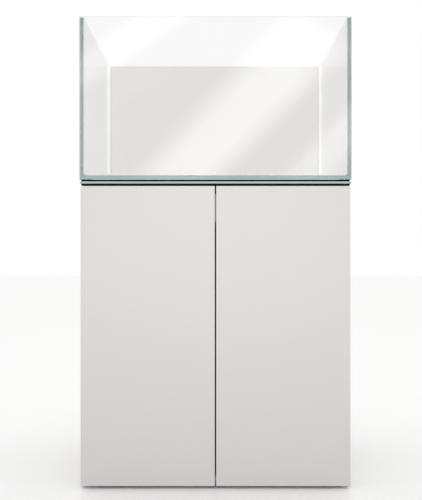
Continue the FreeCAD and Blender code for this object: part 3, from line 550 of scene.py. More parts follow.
rim_edge = thin_edge("rim_edge_green", (0.36, 0.5, 0.49), (0.5, 0.62, 0.61), 0.85, 0.2)
hidden_edge = thin_edge("hidden_edge_pale", (0.60, 0.68, 0.67), (0.72, 0.79, 0.78), 0.2, 0.5)

# %% [markdown]
# A pane's rule: three boxes, each full size along one axis and smaller by the arris along the
# other two. Their convex hull is a block whose twelve edges are all ground off alike. A Bevel
# modifier would do it too, but the hull needs no edge to be picked. The materials then go by the
# way each face looks: the edge's green everywhere, the rim's on faces that look up, the hidden
# edge's on faces that look back, and last the inner and the outer broad face.

# %% Pane rule
NOWHERE = (0.0, 0.0, 0.0)
UP, DEEP, ACROSS = (0.0, 0.0, 1.0), (0.0, 1.0, 0.0), (1.0, 0.0, 0.0)
sizes = {"Size": (0.6, 0.008, 0.36), "Middle": NOWHERE, "Through": DEEP, "Arris": 0.0004}
pane_rule = Rule("ground_pane", 5, **sizes)
less = pane_rule.given("Arris") * 2
boxes = []
for keep_axis in range(3):
    trim = [less, less, less]
    trim[keep_axis] = 0.0
    size = pane_rule.vector_maths("SUBTRACT", pane_rule.given("Size"), pane_rule.vector(*trim))
    boxes.append(pane_rule.node("MeshCube", {"Size": size}))
hull = pane_rule.node("ConvexHull", {"Geometry": pane_rule.joined(*boxes)})
placed = pane_rule.node("Transform", {"Geometry": hull, "Translation": pane_rule.given("Middle")})
upward, backward = pane_rule.looking(UP), pane_rule.looking(DEEP)
broad = pane_rule.looking(pane_rule.given("Through"))
pane_rule.end(placed, upward > 0.5, backward > 0.5, abs(broad) > 0.5, broad > 0.5)

# %% [markdown]
# Each pane reads its size and place from the frame, and `Through` is the way out of the tank, so
# that its outer face takes the tint and its inner face stays clear. The bottom pane has the same
# face above and below.

# %% Five panes
LEFTWARDS, FORWARDS = (-1.0, 0.0, 0.0), (0.0, -1.0, 0.0)
FAR_FACE = {"tank_bottom_pane": floor_face}
for node, through, face, edge in (
    ("tank_bottom_pane", UP, floor_face, floor_edge),
    ("tank_front_pane", FORWARDS, wall_face, wall_edge),
    ("tank_back_pane", DEEP, back_face, wall_edge),
    ("tank_left_pane", LEFTWARDS, side_face, wall_edge),
    ("tank_right_pane", ACROSS, side_face, wall_edge),
):
    materials = (edge, rim_edge, hidden_edge, FAR_FACE.get(node, inner_face), face)
    inputs = {**size_and_middle(node), "Through": through}
    stand_in(grow(f"{node}_ground", pane_rule, materials, **inputs), node)

# %% [markdown]
# The plate under the tank has a fully rounded edge, as ground glass shelves have. Eight balls at
# its corners and the hull around them give the whole plate.

# %% Rounded plate
plate_rule = Rule("rounded_plate", 2, Size=(0.6, 0.5, 0.005), Middle=NOWHERE, Round=0.0022)
ball_span = plate_rule.given("Round") * 2
core_size = plate_rule.vector_maths(
    "SUBTRACT", plate_rule.given("Size"), plate_rule.vector(ball_span, ball_span, ball_span)
)
core = plate_rule.node("MeshCube", {"Size": core_size})
sizes = {"Segments": 24, "Rings": 12, "Radius": plate_rule.given("Round")}
ball = plate_rule.node("MeshUVSphere", sizes)
balls = plate_rule.node("InstanceOnPoints", {"Points": core, "Instance": ball})
solid_balls = plate_rule.node("RealizeInstances", {"Geometry": balls})
hull = plate_rule.node("ConvexHull", {"Geometry": solid_balls})
place = plate_rule.given("Middle")
placed = plate_rule.node("Transform", {"Geometry": hull, "Translation": place})
plate_rule.end(placed, abs(plate_rule.looking(UP)) > 0.99)

inputs = size_and_middle("base_glass_plate")
plate = grow("base_plate_polished", plate_rule, (plate_edge, floor_face), **inputs)
smooth(plate, 20)
stand_in(plate, "base_glass_plate")

# %% [markdown]
# ## Silicone
#
# The panes are glued with clear silicone, and a bead is drawn with a wetted finger down every
# inside corner, which leaves it hollow. The rule draws that hollow outline once, gives it a unit
# length, and sets one on every seam with its own turn and length. Sweeping the outline along a
# path would do too, but its turn about the path is then hard to steer. Silicone is clear but
# milky, so it mixes a clear shader with a soft pale gloss.

# %% Silicone finish
def silicone(name, milkiness, glow=0.0):
    """Silicone that lets through more or less of what is behind it, with a painted glow set by
    glow.
    """
    rubber = Finish(name)
    milk = rubber.clouds(26.0, 3.0)
    tone = rubber.blend(milk, (0.93, 0.94, 0.935), (0.97, 0.975, 0.97))
    ripples = rubber.bump(rubber.clouds(90.0, 2.0), 0.25, 0.0006)
    body = rubber.principled(
        Base_Color=tone,
        Roughness=0.16 + 0.12 * milk,
        Normal=ripples,
        # The emission is painted light: a glow of its own that no lamp gives.
        Emission_Color=tone,
        Emission_Strength=glow,
    )
    clear = rubber.node("BsdfTransparent", {"Color": (0.985, 0.99, 0.987)})
    return rubber.done(rubber.mixed(milkiness, clear, body))


thin_silicone = silicone("thin_silicone", 0.1)
floor_silicone = silicone("floor_silicone", 0.3)
# This silicone has a painted glow: emission standing for light carried inside the glass.
painted_glow_silicone = silicone("painted_glow_silicone", 0.75, 0.4)


# %% [markdown]
# A rule sets its copies on points. Each point carries the turn of its copy, and its length where
# the copies differ in that. Points with attributes are lighter than placed objects, and the same
# helper serves the seams here and the screws further down.

# %% Hosts: points that say where each copy goes
def turned_by(x_axis, y_axis, z_axis):
    """The turn that lays a copy's own axes along three directions."""
    return Matrix((x_axis, y_axis, z_axis)).transposed().to_euler()


def host_points(name, spots, turns, lengths):
    """Points that carry a turn and a length for the copy that will stand on each."""
    mesh = bpy.data.meshes.new(name)
    mesh.from_pydata(spots, [], [])
    turn = mesh.attributes.new("turn", "FLOAT_VECTOR", "POINT")
    turn.data.foreach_set("vector", [number for euler in turns for number in euler])
    length = mesh.attributes.new("length", "FLOAT", "POINT")
    length.data.foreach_set("value", lengths)
    return mesh


# %% [markdown]
# The hollow outline is a row of points bent into a quarter arc and closed at the corner. It is
# filled, pulled up by one unit, and stretched to each seam's length.

# %% Bead rule
BEAD_STEPS = 8
bead_rule = Rule("hollow_bead", 1, Width=0.005)
row = bead_rule.node("MeshLine", {"Count": BEAD_STEPS + 2, "Offset": (0.001, 0.0, 0.0)})
step = bead_rule.node("InputIndex")
turn = step * (math.pi / 2 / BEAD_STEPS)
width = bead_rule.given("Width")
on_arc = 1 - (step > BEAD_STEPS + 0.5)
reach_x = width * (1 - turn.maths("SINE", turn)) * on_arc
reach_y = width * (1 - turn.maths("COSINE", turn)) * on_arc
outline = {"Geometry": row, "Position": bead_rule.vector(reach_x, reach_y, 0.0)}
profile = bead_rule.node("MeshToCurve", {0: bead_rule.node("SetPosition", outline)})
profile = bead_rule.node("SetSplineCyclic", {0: profile, "Cyclic": True})
end_face = bead_rule.node("FillCurve", {0: profile}, {"mode": "NGONS"})
pulled = bead_rule.node(
    "ExtrudeMesh", {0: end_face, "Offset": UP, "Offset Scale": 1.0, "Individual": False}
)
start_face = bead_rule.node("FlipFaces", {0: end_face})
unit = bead_rule.node("MergeByDistance", {0: bead_rule.joined(start_face, pulled)})
turns = bead_rule.node("InputNamedAttribute", {"Name": "turn"}, {"data_type": "FLOAT_VECTOR"})
lengths = bead_rule.node("InputNamedAttribute", {"Name": "length"}, {"data_type": "FLOAT"})
scale = bead_rule.vector(1.0, 1.0, lengths)
seams = {"Points": bead_rule.given("Geometry"), "Instance": unit}
copies = bead_rule.node("InstanceOnPoints", {**seams, "Rotation": turns, "Scale": scale})
bead_rule.end(copies)

# %% [markdown]
# Four beads run down the corners and four round the floor, each a hair clear of the glass. The
# corner beads are wiped thin and nearly vanish. The floor's are a little wider and milkier.

# %% Beads down the corners and round the floor
SKIN = 0.00005
BEAD, FLOOR_BEAD = 0.005, 0.006
BEAD_FOOT, BEAD_TOP_GAP = BEAD * 0.4, 0.001
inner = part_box("tank_left_pane")[1].x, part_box("tank_right_pane")[0].x
inner_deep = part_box("tank_front_pane")[1].y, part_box("tank_back_pane")[0].y
pane_low, pane_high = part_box("tank_front_pane")[0].z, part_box("tank_front_pane")[1].z
X, Y, Z = Vector(ACROSS), Vector(DEEP), Vector(UP)
left, right = inner[0] + SKIN, inner[1] - SKIN
near, far = inner_deep[0] + SKIN, inner_deep[1] - SKIN
corner_places = (
    ((left, near), turned_by(X, Y, Z)),
    ((right, near), turned_by(Y, -X, Z)),
    ((right, far), turned_by(-X, -Y, Z)),
    ((left, far), turned_by(-Y, X, Z)),
)
corner_host = host_points(
    "corner_host",
    [(*place, pane_low + BEAD_FOOT) for place, turn in corner_places],
    [turn for place, turn in corner_places],
    [pane_high - pane_low - BEAD_FOOT - BEAD_TOP_GAP] * 4,
)
corner_beads = grow("corner_beads", bead_rule, (thin_silicone,), corner_host, Width=BEAD)
floor_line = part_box("tank_bottom_pane")[1].z + SKIN
floor_places = (
    ((left, near, floor_line), turned_by(Y, Z, X), right - left),
    ((left, far, floor_line), turned_by(Z, -Y, X), right - left),
    ((left, near, floor_line), turned_by(Z, X, Y), far - near),
    ((right, near, floor_line), turned_by(-X, Z, Y), far - near),
)
floor_host = host_points("floor_host", *(list(column) for column in zip(*floor_places)))
floor_beads = grow("floor_beads", bead_rule, (floor_silicone,), floor_host, Width=FLOOR_BEAD)
for beads, node in ((corner_beads, "tank_corner_seams"), (floor_beads, "tank_floor_seam")):
    smooth(beads, 50)
    stand_in(beads, node)


# %% [markdown]
# Between the panes themselves the silicone is a layer a millimetre thick. It shows as a pale
# line under the walls and beside the corners. Plain thin blocks are enough, set back a hair from
# the glass so that the two surfaces never share a plane.

# %% Blocks
BLOCK_SIDES = ((0, 2, 3, 1), (4, 5, 7, 6), (0, 1, 5, 4), (2, 6, 7, 3), (0, 4, 6, 2), (1, 3, 7, 5))
LAYER_BEVEL = 0.0002


def add_block(shape, low, high):
    """Adds a block between two corners, a hair smaller all round."""
    spots = [
        shape.verts.new((x, y, z))
        for z in (low[2] + SKIN, high[2] - SKIN)
        for y in (low[1] + SKIN, high[1] - SKIN)
        for x in (low[0] + SKIN, high[0] - SKIN)
    ]
    for corners in BLOCK_SIDES:
        shape.faces.new([spots[corner] for corner in corners])


def blocks(name, pairs, material):
    """One piece of several blocks, with their edges taken off."""
    shape = bmesh.new()
    for low, high in pairs:
        add_block(shape, low, high)
    bmesh.ops.recalc_face_normals(shape, faces=shape.faces)
    bmesh.ops.bevel(shape, geom=shape.edges[:], offset=LAYER_BEVEL, segments=1, affect="EDGES")
    mesh = finished_mesh(name, shape, material)
    print("blocks", name, len(mesh.polygons), "faces")
    return plain_object(name, mesh)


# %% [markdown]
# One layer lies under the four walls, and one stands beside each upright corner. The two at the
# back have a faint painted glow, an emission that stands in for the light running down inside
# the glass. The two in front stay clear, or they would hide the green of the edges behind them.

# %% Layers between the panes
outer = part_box("tank_front_pane")[0].x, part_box("tank_front_pane")[1].x
outer_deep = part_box("tank_front_pane")[0].y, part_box("tank_back_pane")[1].y
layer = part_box("tank_bottom_pane")[1].z, pane_low
side_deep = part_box("tank_left_pane")[0].y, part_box("tank_left_pane")[1].y
under_walls = [
    ((outer[0], outer_deep[0], layer[0]), (outer[1], inner_deep[0], layer[1])),
    ((outer[0], inner_deep[1], layer[0]), (outer[1], outer_deep[1], layer[1])),
    ((outer[0], inner_deep[0], layer[0]), (inner[0], inner_deep[1], layer[1])),
    ((inner[1], inner_deep[0], layer[0]), (outer[1], inner_deep[1], layer[1])),
]
beside_front, beside_back = (
    [
        ((low_x, low_y, pane_low), (high_x, high_y, pane_high))
        for low_x, high_x in ((outer[0], inner[0]), (inner[1], outer[1]))
    ]
    for low_y, high_y in ((inner_deep[0], side_deep[0]), (side_deep[1], inner_deep[1]))
)
stand_in(blocks("floor_layer", under_walls, floor_silicone), "tank_floor_seam")
stand_in(blocks("front_corner_layers", beside_front, thin_silicone), "tank_corner_seams")
stand_in(blocks("back_corner_layers", beside_back, painted_glow_silicone), "tank_corner_seams")

# %% [markdown]
# ## Foam mats
#
# Two mats of closed-cell foam keep the glass off hard spots. Under the tank's weight the cut
# edge swells a little and waves. The mesh follows the mat's outline in short steps, each with a
# bulged profile pushed in and out by smooth noise. The cells are too fine to be told apart, so
# the finish has only the coarser unevenness between them. The cut edge is far darker than the
# skin above and below: the foam's own black, deepened with painted shade for the narrow gap
# between the glass layers where it sits. A solid block with a bevel would be simpler, but its
# edge would be dead straight.

# %% Foam finish
foam = Finish("black_foam")
coarse = foam.clouds(60.0, 3.0)
# Near-black cut edge: the foam's own black, deepened with painted shade for the gap between the
# glass layers.
tone = foam.blend(0.4 * coarse, (0.002, 0.0035, 0.004), (0.006, 0.009, 0.010))
surface = foam.bump(foam.clouds(30.0), 0.2, 0.0005)
rough = 0.8 + 0.15 * coarse
foam_edge_painted_shade = foam.done(
    foam.principled(Base_Color=tone, Roughness=rough, Specular_IOR_Level=0.15, Normal=surface)
)

skin = Finish("foam_skin")
coarse = skin.clouds(60.0, 3.0)
tone = skin.blend(coarse, (0.020, 0.021, 0.022), (0.034, 0.036, 0.037))
surface = skin.bump(skin.clouds(30.0), 0.2, 0.0005)
rough = 0.7 + 0.2 * coarse
skin_finish = skin.done(skin.principled(Base_Color=tone, Roughness=rough, Normal=surface))

# %% [markdown]
# The outline is walked in steps of about 12 mm. At each step the profile stands on the outward
# direction, and smooth noise pushes it in by up to a third of a millimetre, never out of the
# mat's own box.

# %% Foam sheets
STEP, SWAY, WAVES = 0.012, 0.0003, 45.0


def outline_steps(low, high):
    """Spots round a rectangle with the outward direction at each."""
    corners = ((low.x, low.y), (high.x, low.y), (high.x, high.y), (low.x, high.y))
    outs = ((0, -1), (1, 0), (0, 1), (-1, 0))
    spots = []
    for number in range(4):
        start, end = Vector(corners[number]), Vector(corners[(number + 1) % 4])
        count = max(2, round((end - start).length / STEP))
        before, out = Vector(outs[number - 1]), Vector(outs[number])
        for index in range(count):
            way = (before + out) if index == 0 else out
            spots.append((start.lerp(end, index / count), way))
    return spots


def foam_sheet(name, node):
    """One mat: a bulged profile carried round its outline, closed above and below."""
    low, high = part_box(node)
    thick = high.z - low.z
    insets = (0.0012, 0.0003, 0.0001, 0.0003, 0.0012)
    heights = (SKIN, thick * 0.15, thick * 0.5, thick * 0.85, thick - SKIN)
    profile = tuple(zip(insets, heights))
    shape = bmesh.new()
    rings = []
    for spot, out in outline_steps(low, high):
        ring = []
        for inset, up in profile:
            sway = SWAY * noise.noise(Vector((spot.x, spot.y, low.z + up)) * WAVES)
            place = spot - out * (inset + max(0.0, sway + 0.0001))
            ring.append(shape.verts.new((place.x, place.y, low.z + up)))
        rings.append(ring)
    for ring, following in zip(rings, rings[1:] + rings[:1]):
        for level in range(len(profile) - 1):
            shape.faces.new((ring[level], following[level], following[level + 1], ring[level + 1]))
    shape.faces.new([ring[-1] for ring in rings])
    shape.faces.new([ring[0] for ring in reversed(rings)])
    mesh = finished_mesh(name, shape, foam_edge_painted_shade, skin_finish)
    for side in mesh.polygons:
        side.material_index = 1 if abs(side.normal.z) > 0.9 else 0
    sheet = plain_object(name, mesh)
    smooth(sheet, 25)
    stand_in(sheet, node)
    print("foam", name, len(mesh.polygons), "faces")


foam_sheet("tank_mat_foam", "tank_mat")
foam_sheet("cabinet_mat_foam", "cabinet_mat")

# %% [markdown]
# ## Gloss lacquer and board
#
# The doors and boards keep the frame's own shapes, with all their bores, and get a lacquer. A
# sprayed gloss is never quite flat: it has a fine orange peel, a faint cloudiness, and polish
# that varies from hand to hand. All three are noise, each at its own scale. The back is thinner
# hardboard with a duller film. The top's front edge gets a near-black band: painted shade for
# the recess seen through the gap between the doors.


# %% Lacquer and board finishes
def lacquer(name, pale, shade, rough, peel):
    """White lacquer with clouds in its colour, a varied polish and orange peel."""
    paint = Finish(name)
    cloud = paint.clouds(2.6, 3.0)
    tone = paint.blend(cloud, pale, shade)
    wipes = paint.clouds(7.0, 2.0, paint.stretched(1.0, 1.0, 0.35))
    skin = paint.bump(paint.clouds(260.0, 2.0), peel, 0.0001)
    rough = rough + 0.1 * wipes
    coat = {"Coat_Weight": 0.5, "Coat_Roughness": 0.06}
    return paint.done(paint.principled(Base_Color=tone, Roughness=rough, Normal=skin, **coat))


gloss_white = lacquer("white_lacquer", (0.560, 0.543, 0.538), (0.580, 0.563, 0.558), 0.16, 0.12)

film = Finish("back_board_film")
grain = film.clouds(150.0, 4.0)
tone = film.blend(grain, (0.60, 0.585, 0.575), (0.66, 0.645, 0.635))
weave = film.bump(grain, 0.35, 0.0002)
rough = 0.42 + 0.2 * grain
back_white = film.done(film.principled(Base_Color=tone, Roughness=rough, Normal=weave))

band = Finish("edge_film_painted_shade")
brushed = band.clouds(90.0, 4.0, band.stretched(0.05, 1.0, 1.0))
# Near black: painted shade for the recess seen through the gap between the doors.
tone = band.blend(brushed, (0.018, 0.019, 0.02), (0.05, 0.05, 0.052))
relief = band.bump(brushed, 0.2, 0.0002)
rough = 0.35 + 0.2 * brushed
edge_band_painted_shade = band.done(band.principled(Base_Color=tone, Roughness=rough, Normal=relief))

# %% [markdown]
# ## Metals, wood and plastic
#
# Pressed hinge steel is nickel plated, cams are die-cast zinc, and screws and pins are bright
# zinc-plated steel. Plating keeps the marks of the sheet under it, so the polish is streaked one
# way. Cast zinc is grainy. Each is one metal shader whose roughness and bump do the telling.


# %% Metal finishes
def metal(name, dark, bright, rough, stretch, scale, relief):
    """A metal whose colour, polish and relief follow one stretched noise."""
    sheet = Finish(name)
    streak = sheet.clouds(scale, 4.0, sheet.stretched(*stretch))
    wear = sheet.clouds(35.0, 3.0)
    tone = sheet.blend(0.6 * streak + 0.4 * wear, dark, bright)
    marks = sheet.bump(streak, relief, 0.0002)
    rough = rough + 0.16 * streak + 0.08 * wear
    return sheet.done(
        sheet.principled(Base_Color=tone, Metallic=1.0, Roughness=rough, Normal=marks)
    )


ALONG_Y, ALONG_Z, EVEN = (1.0, 0.06, 1.0), (1.0, 1.0, 0.15), (1.0, 1.0, 1.0)
nickel = metal("nickel_plate", (0.60, 0.585, 0.55), (0.80, 0.78, 0.74), 0.16, ALONG_Y, 420.0, 0.08)
cast_zinc = metal("cast_zinc", (0.40, 0.41, 0.43), (0.62, 0.63, 0.65), 0.36, EVEN, 700.0, 0.4)
bright_steel = metal(
    "bright_steel", (0.56, 0.57, 0.58), (0.80, 0.81, 0.82), 0.22, ALONG_Z, 500.0, 0.12
)

# %% [markdown]
# Dowels are turned beech, with a grain that runs along them. The latches, the plungers and the
# feet are moulded plastic with a fine grain from the mould.

# %% Wood and plastic finishes
beech = Finish("beech_dowel")
rings = beech.clouds(220.0, 4.0, beech.stretched(0.12, 1.0, 0.12))
tone = beech.blend(rings, (0.50, 0.31, 0.17), (0.72, 0.50, 0.30))
relief = beech.bump(rings, 0.3, 0.0002)
rough = 0.6 + 0.2 * rings
beech_wood = beech.done(beech.principled(Base_Color=tone, Roughness=rough, Normal=relief))


def moulded(name, dark, pale, rough, grain_scale):
    """Moulded plastic: a fine spark-eroded grain and faint flow marks."""
    plastic = Finish(name)
    grain = plastic.clouds(grain_scale, 3.0)
    flow = plastic.clouds(20.0, 2.0)
    tone = plastic.blend(0.5 * grain + 0.5 * flow, dark, pale)
    relief = plastic.bump(grain, 0.3, 0.0002)
    return plastic.done(
        plastic.principled(Base_Color=tone, Roughness=rough + 0.15 * grain, Normal=relief)
    )


grey_plastic = moulded("grey_plastic", (0.20, 0.21, 0.22), (0.30, 0.31, 0.32), 0.42, 900.0)
black_plastic = moulded("black_plastic", (0.012, 0.012, 0.013), (0.035, 0.035, 0.037), 0.45, 800.0)
plunger_plastic = moulded("plunger_plastic", (0.08, 0.08, 0.085), (0.16, 0.16, 0.17), 0.3, 1200.0)

# %% [markdown]
# The frame's own shapes name a slot each, so one table gives them all their finish. Nothing else
# about them is touched. The back board alone has a duller film than the rest of its slot.

# %% Finishes on the frame's own shapes
FINISH_OF_SLOT = {
    "clear_glass": wall_face,
    "clear_silicone": floor_silicone,
    "black_foam": foam_edge_painted_shade,
    "white_gloss_board": gloss_white,
    "dark_edge_band": edge_band_painted_shade,
    "beech_dowel": beech_wood,
    "zinc_alloy": cast_zinc,
    "bright_steel": bright_steel,
    "nickel_steel": nickel,
    "grey_plastic": grey_plastic,
    "magnet_tip": plunger_plastic,
    "black_plastic": black_plastic,
}
for node, item in nodes.items():
    material = back_white if node == "cabinet_back" else FINISH_OF_SLOT[slot_of[node]]
    for entry in item.material_slots:
        entry.material = material
print("finishes given to", len(nodes), "nodes")

# %% [markdown]
# ## Screws and cams
#
# Every fastener that shows has a cross cut in its head. One rule makes them all: a head from two
# cones, a shank, and a cross taken out of the top. Each group stands on points that carry the
# way its head looks, and a fixed seed turns every screw to its own angle, as a fitter leaves
# them. Modelling one screw and copying it by hand would look the same, but would hide the sizes.

# %% Fastener rule
SIDES, SHANK_SIDES, TWIST_SEED = 20, 12, 11
screw_rule = Rule(
    "cross_head",
    1,
    Head=0.0035,
    Neck=0.0018,
    Depth=0.002,
    Dome=0.0003,
    Shank=0.0016,
    Shank_Length=0.01,
    Slot_Reach=0.0042,
    Slot_Width=0.0008,
    Slot_Depth=0.0011,
)
head, dome, depth = (screw_rule.given(label) for label in ("Head", "Dome", "Depth"))
neck = screw_rule.given("Neck")


def cone(top, bottom, tall):
    """A blunt cone that stands on the origin."""
    sizes = {"Vertices": SIDES, "Radius Top": top, "Radius Bottom": bottom, "Depth": tall}
    return screw_rule.node("MeshCone", sizes)


def sunk(mesh, down):
    """Moves a mesh down along the screw's axis."""
    way = screw_rule.vector(0.0, 0.0, 0 - down)
    return screw_rule.node("Transform", {0: mesh, "Translation": way})


lower = sunk(cone(head, neck, depth - dome), depth)
upper = sunk(cone(head * 0.8, head, dome), dome)
blank = screw_rule.node("ConvexHull", {0: screw_rule.joined(lower, upper)})
reach, slot_width = screw_rule.given("Slot_Reach"), screw_rule.given("Slot_Width")
slot_depth = screw_rule.given("Slot_Depth") * 2
bars = [
    screw_rule.node("MeshCube", {"Size": screw_rule.vector(*size)})
    for size in ((reach, slot_width, slot_depth), (slot_width, reach, slot_depth))
]
cutter = screw_rule.node("MeshBoolean", {1: bars[0]}, {"operation": "UNION"})
screw_rule.tree.links.new(bars[1].socket, cutter.socket.node.inputs[1])
slotted = screw_rule.node("MeshBoolean", {0: blank, 1: cutter}, {"operation": "DIFFERENCE"})
length = screw_rule.given("Shank_Length")
sizes = {"Vertices": SHANK_SIDES, "Radius": screw_rule.given("Shank"), "Depth": length}
shank = sunk(screw_rule.node("MeshCylinder", sizes), depth + length * 0.5)
turns = screw_rule.node("InputNamedAttribute", {"Name": "turn"}, {"data_type": "FLOAT_VECTOR"})
screw = screw_rule.joined(slotted, shank)
places = {"Points": screw_rule.given("Geometry"), "Instance": screw, "Rotation": turns}
copies = screw_rule.node("InstanceOnPoints", places)
spread = {2: 0.0, 3: math.pi / 2, "Seed": TWIST_SEED}
twist = screw_rule.function("RandomValue", spread, {"data_type": "FLOAT"}, 1)
about_axis = {0: copies, "Rotation": screw_rule.vector(0.0, 0.0, twist), "Local Space": True}
screw_rule.end(screw_rule.node("RotateInstances", about_axis))

# %% [markdown]
# The frame holds a whole group of screws as one mesh of loose triangles. A copy of it, merged
# and then followed along its edges, gives one solid for each screw. The solids come in the
# mesh's own order, so that each screw gets the same turn in every run. Typing in the places
# would work as well, until a size in the frame changes.

# %% Separate solids
MERGE = 1e-6


def solids_in(node):
    """The corner places of every separate solid in a node: loose triangles merged, then parted."""
    shape = bmesh.new()
    shape.from_mesh(nodes[node].data)
    bmesh.ops.remove_doubles(shape, verts=shape.verts[:], dist=MERGE)
    waiting = set(shape.verts)
    found = []
    for first in shape.verts:
        if first not in waiting:
            continue
        waiting.remove(first)
        members, reached = [first], [first]
        while reached:
            spot = reached.pop()
            for edge in spot.link_edges:
                other = edge.other_vert(spot)
                if other in waiting:
                    waiting.remove(other)
                    members.append(other)
                    reached.append(other)
        found.append([spot.co.copy() for spot in members])
    shape.free()
    return found


print("back screws", len(solids_in("back_screws")))

# %% [markdown]
# A screw's box tells its axis, and its wider end tells where the head is and which way it looks.
# A cam is a plain cylinder with two ends alike, so its head is the end nearer the middle of the
# cabinet, where a screwdriver reaches it.

# %% Where the heads are
SAME_LEVEL, SAME_WIDTH = 1e-5, 1e-4
box_low, box_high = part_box("cabinet_back")
CABINET_MIDDLE = Vector((0.0, 0.0, (box_low.z + box_high.z) / 2))


def off_axis(spot, centre, axis):
    """How far a spot lies from an axis through the centre."""
    gap = spot - centre
    gap[axis] = 0.0
    return gap.length


def extent(spots):
    """The lowest and highest corners of some spots."""
    low = Vector([min(spot[axis] for spot in spots) for axis in range(3)])
    high = Vector([max(spot[axis] for spot in spots) for axis in range(3)])
    return low, high


def head_place(spots):
    """Where a fastener's head lies and which way it looks.

    The axis is the one whose size differs from the other two, and the head is at its wider end.
    A plain cylinder, such as a cam, looks towards the middle of the cabinet.
    """
    low, high = extent(spots)
    size = high - low
    odd = [abs(size[one] - size[one - 1]) + abs(size[one] - size[one - 2]) for one in range(3)]
    axis = odd.index(max(odd))
    centre = (low + high) / 2
    widths = []
    for end in (low, high):
        near_end = [spot for spot in spots if abs(spot[axis] - end[axis]) < SAME_LEVEL]
        widths.append(max(off_axis(spot, centre, axis) for spot in near_end))
    if abs(widths[0] - widths[1]) < SAME_WIDTH:
        sign = -1 if centre[axis] > CABINET_MIDDLE[axis] else 1
    else:
        sign = 1 if widths[1] > widths[0] else -1
    way = Vector([0.0] * 3)
    way[axis] = sign
    place = centre.copy()
    place[axis] = high[axis] if sign > 0 else low[axis]
    return place, way


print("middle of the cabinet", CABINET_MIDDLE)


# %% [markdown]
# Five kinds of fastener come out of the one rule: back screws, plate screws, arm screws, cup
# screws and cams. Only their sizes differ.

# %% Fasteners
def fasteners(name, node, material, **sizes):
    """One group of screws or cams, a cross-headed copy in place of each plain solid."""
    places = [head_place(spots) for spots in solids_in(node)]
    turns = [way.to_track_quat("Z", "Y").to_euler() for place, way in places]
    spots = [place for place, way in places]
    host = host_points(f"{name}_host", spots, turns, [1.0] * len(places))
    piece = grow(name, screw_rule, (material,), host, **sizes)
    smooth(piece, 30)
    stand_in(piece, node)


fasteners("back_screw_heads", "back_screws", bright_steel, Shank_Length=0.028)
plate_sizes = {
    "Head": 0.004,
    "Neck": 0.004,
    "Depth": 0.002,
    "Dome": 0.0008,
    "Shank": 0.0025,
    "Shank_Length": 0.012,
    "Slot_Reach": 0.005,
    "Slot_Width": 0.0009,
}
fasteners("plate_screw_heads", "mounting_plate_screws", bright_steel, **plate_sizes)
arm_sizes = {
    "Head": 0.0035,
    "Neck": 0.0035,
    "Depth": 0.0015,
    "Dome": 0.0004,
    "Shank": 0.002,
    "Shank_Length": 0.012,
}
fasteners("arm_screw_heads", "hinge_arm_screws", bright_steel, **arm_sizes)
cup_sizes = {
    "Neck": 0.0024,
    "Depth": 0.0009,
    "Shank": 0.00175,
    "Shank_Length": 0.011,
    "Slot_Depth": 0.0006,
}
for side in ("left", "right"):
    fasteners(f"{side}_cup_screw_heads", f"{side}_cup_screws", bright_steel, **cup_sizes)
cam_sizes = {
    "Head": 0.0075,
    "Neck": 0.0075,
    "Depth": 0.0125,
    "Dome": 0.0004,
    "Shank": 0.003,
    "Shank_Length": 0.0001,
    "Slot_Reach": 0.009,
    "Slot_Width": 0.0016,
    "Slot_Depth": 0.003,
}
fasteners("cam_lock_heads", "cam_locks", cast_zinc, **cam_sizes)

# %% [markdown]
# ## Levelling feet
#
# A foot is a plastic puck, ribbed so that fingers can turn it, on a threaded stem that runs up
# into its insert. The rule sets ribs round a circle and winds a thread as a spiral swept by a
# small round. A texture could fake both, but the ribs break the outline against the floor.

# %% Foot rule
RIBS, RIB_RADIUS = 28, 0.0009
THREAD_DEPTH, THREAD_RADIUS = 0.0006, 0.00045
DISC = 0.0001
PAD_HEIGHT = 0.005
sizes = {"Pad": 0.015, "Pad_Height": PAD_HEIGHT, "Stem": 0.004, "Stem_Height": 0.015}
foot_rule = Rule("ribbed_foot", 1, Middle=NOWHERE, Pitch=0.00125, **sizes)
pad, pad_height = foot_rule.given("Pad"), foot_rule.given("Pad_Height")
stem, stem_height = foot_rule.given("Stem"), foot_rule.given("Stem_Height")


def standing(mesh, up):
    """Lifts a centred mesh."""
    return foot_rule.node("Transform", {0: mesh, "Translation": foot_rule.vector(0.0, 0.0, up)})


def puck(radius, height):
    """A low cylinder about the foot's axis."""
    return foot_rule.node("MeshCylinder", {"Vertices": 56, "Radius": radius, "Depth": height})


rim = standing(puck(pad - 0.0006, pad_height * 0.62), pad_height * 0.42)
sole = standing(puck(pad * 0.9, DISC), DISC / 2)
crown = standing(puck(pad * 0.62, DISC), pad_height - DISC / 2)
puck_hull = foot_rule.node("ConvexHull", {0: foot_rule.joined(rim, sole, crown)})
circle = foot_rule.node("MeshCircle", {"Vertices": RIBS, "Radius": pad - RIB_RADIUS})
sizes = {"Vertices": 8, "Radius": RIB_RADIUS, "Depth": pad_height * 0.56}
rib = foot_rule.node("MeshCylinder", sizes)
ribs = foot_rule.node("InstanceOnPoints", {"Points": circle, "Instance": rib})
ribs = standing(ribs, pad_height * 0.42)
core_radius = stem - THREAD_DEPTH
sizes = {"Vertices": 24, "Radius": core_radius, "Depth": stem_height}
core = standing(foot_rule.node("MeshCylinder", sizes), pad_height + stem_height * 0.5 - 0.0002)
winding = foot_rule.node(
    "CurveSpiral",
    {
        "Resolution": 20,
        "Rotations": (stem_height - 0.002) / foot_rule.given("Pitch"),
        "Start Radius": core_radius,
        "End Radius": core_radius,
        "Height": stem_height - 0.002,
    },
)
wire = foot_rule.node("CurvePrimitiveCircle", {"Resolution": 6, "Radius": THREAD_RADIUS})
thread = foot_rule.node("CurveToMesh", {0: winding, 1: wire, "Fill Caps": True})
thread = standing(thread, pad_height + 0.001)
whole = foot_rule.joined(puck_hull, ribs, core, thread)
foot_rule.end(foot_rule.node("Transform", {0: whole, "Translation": foot_rule.given("Middle")}))

# %% [markdown]
# The four feet differ only in place. Each rides on its own foot's body, so it goes down with it.

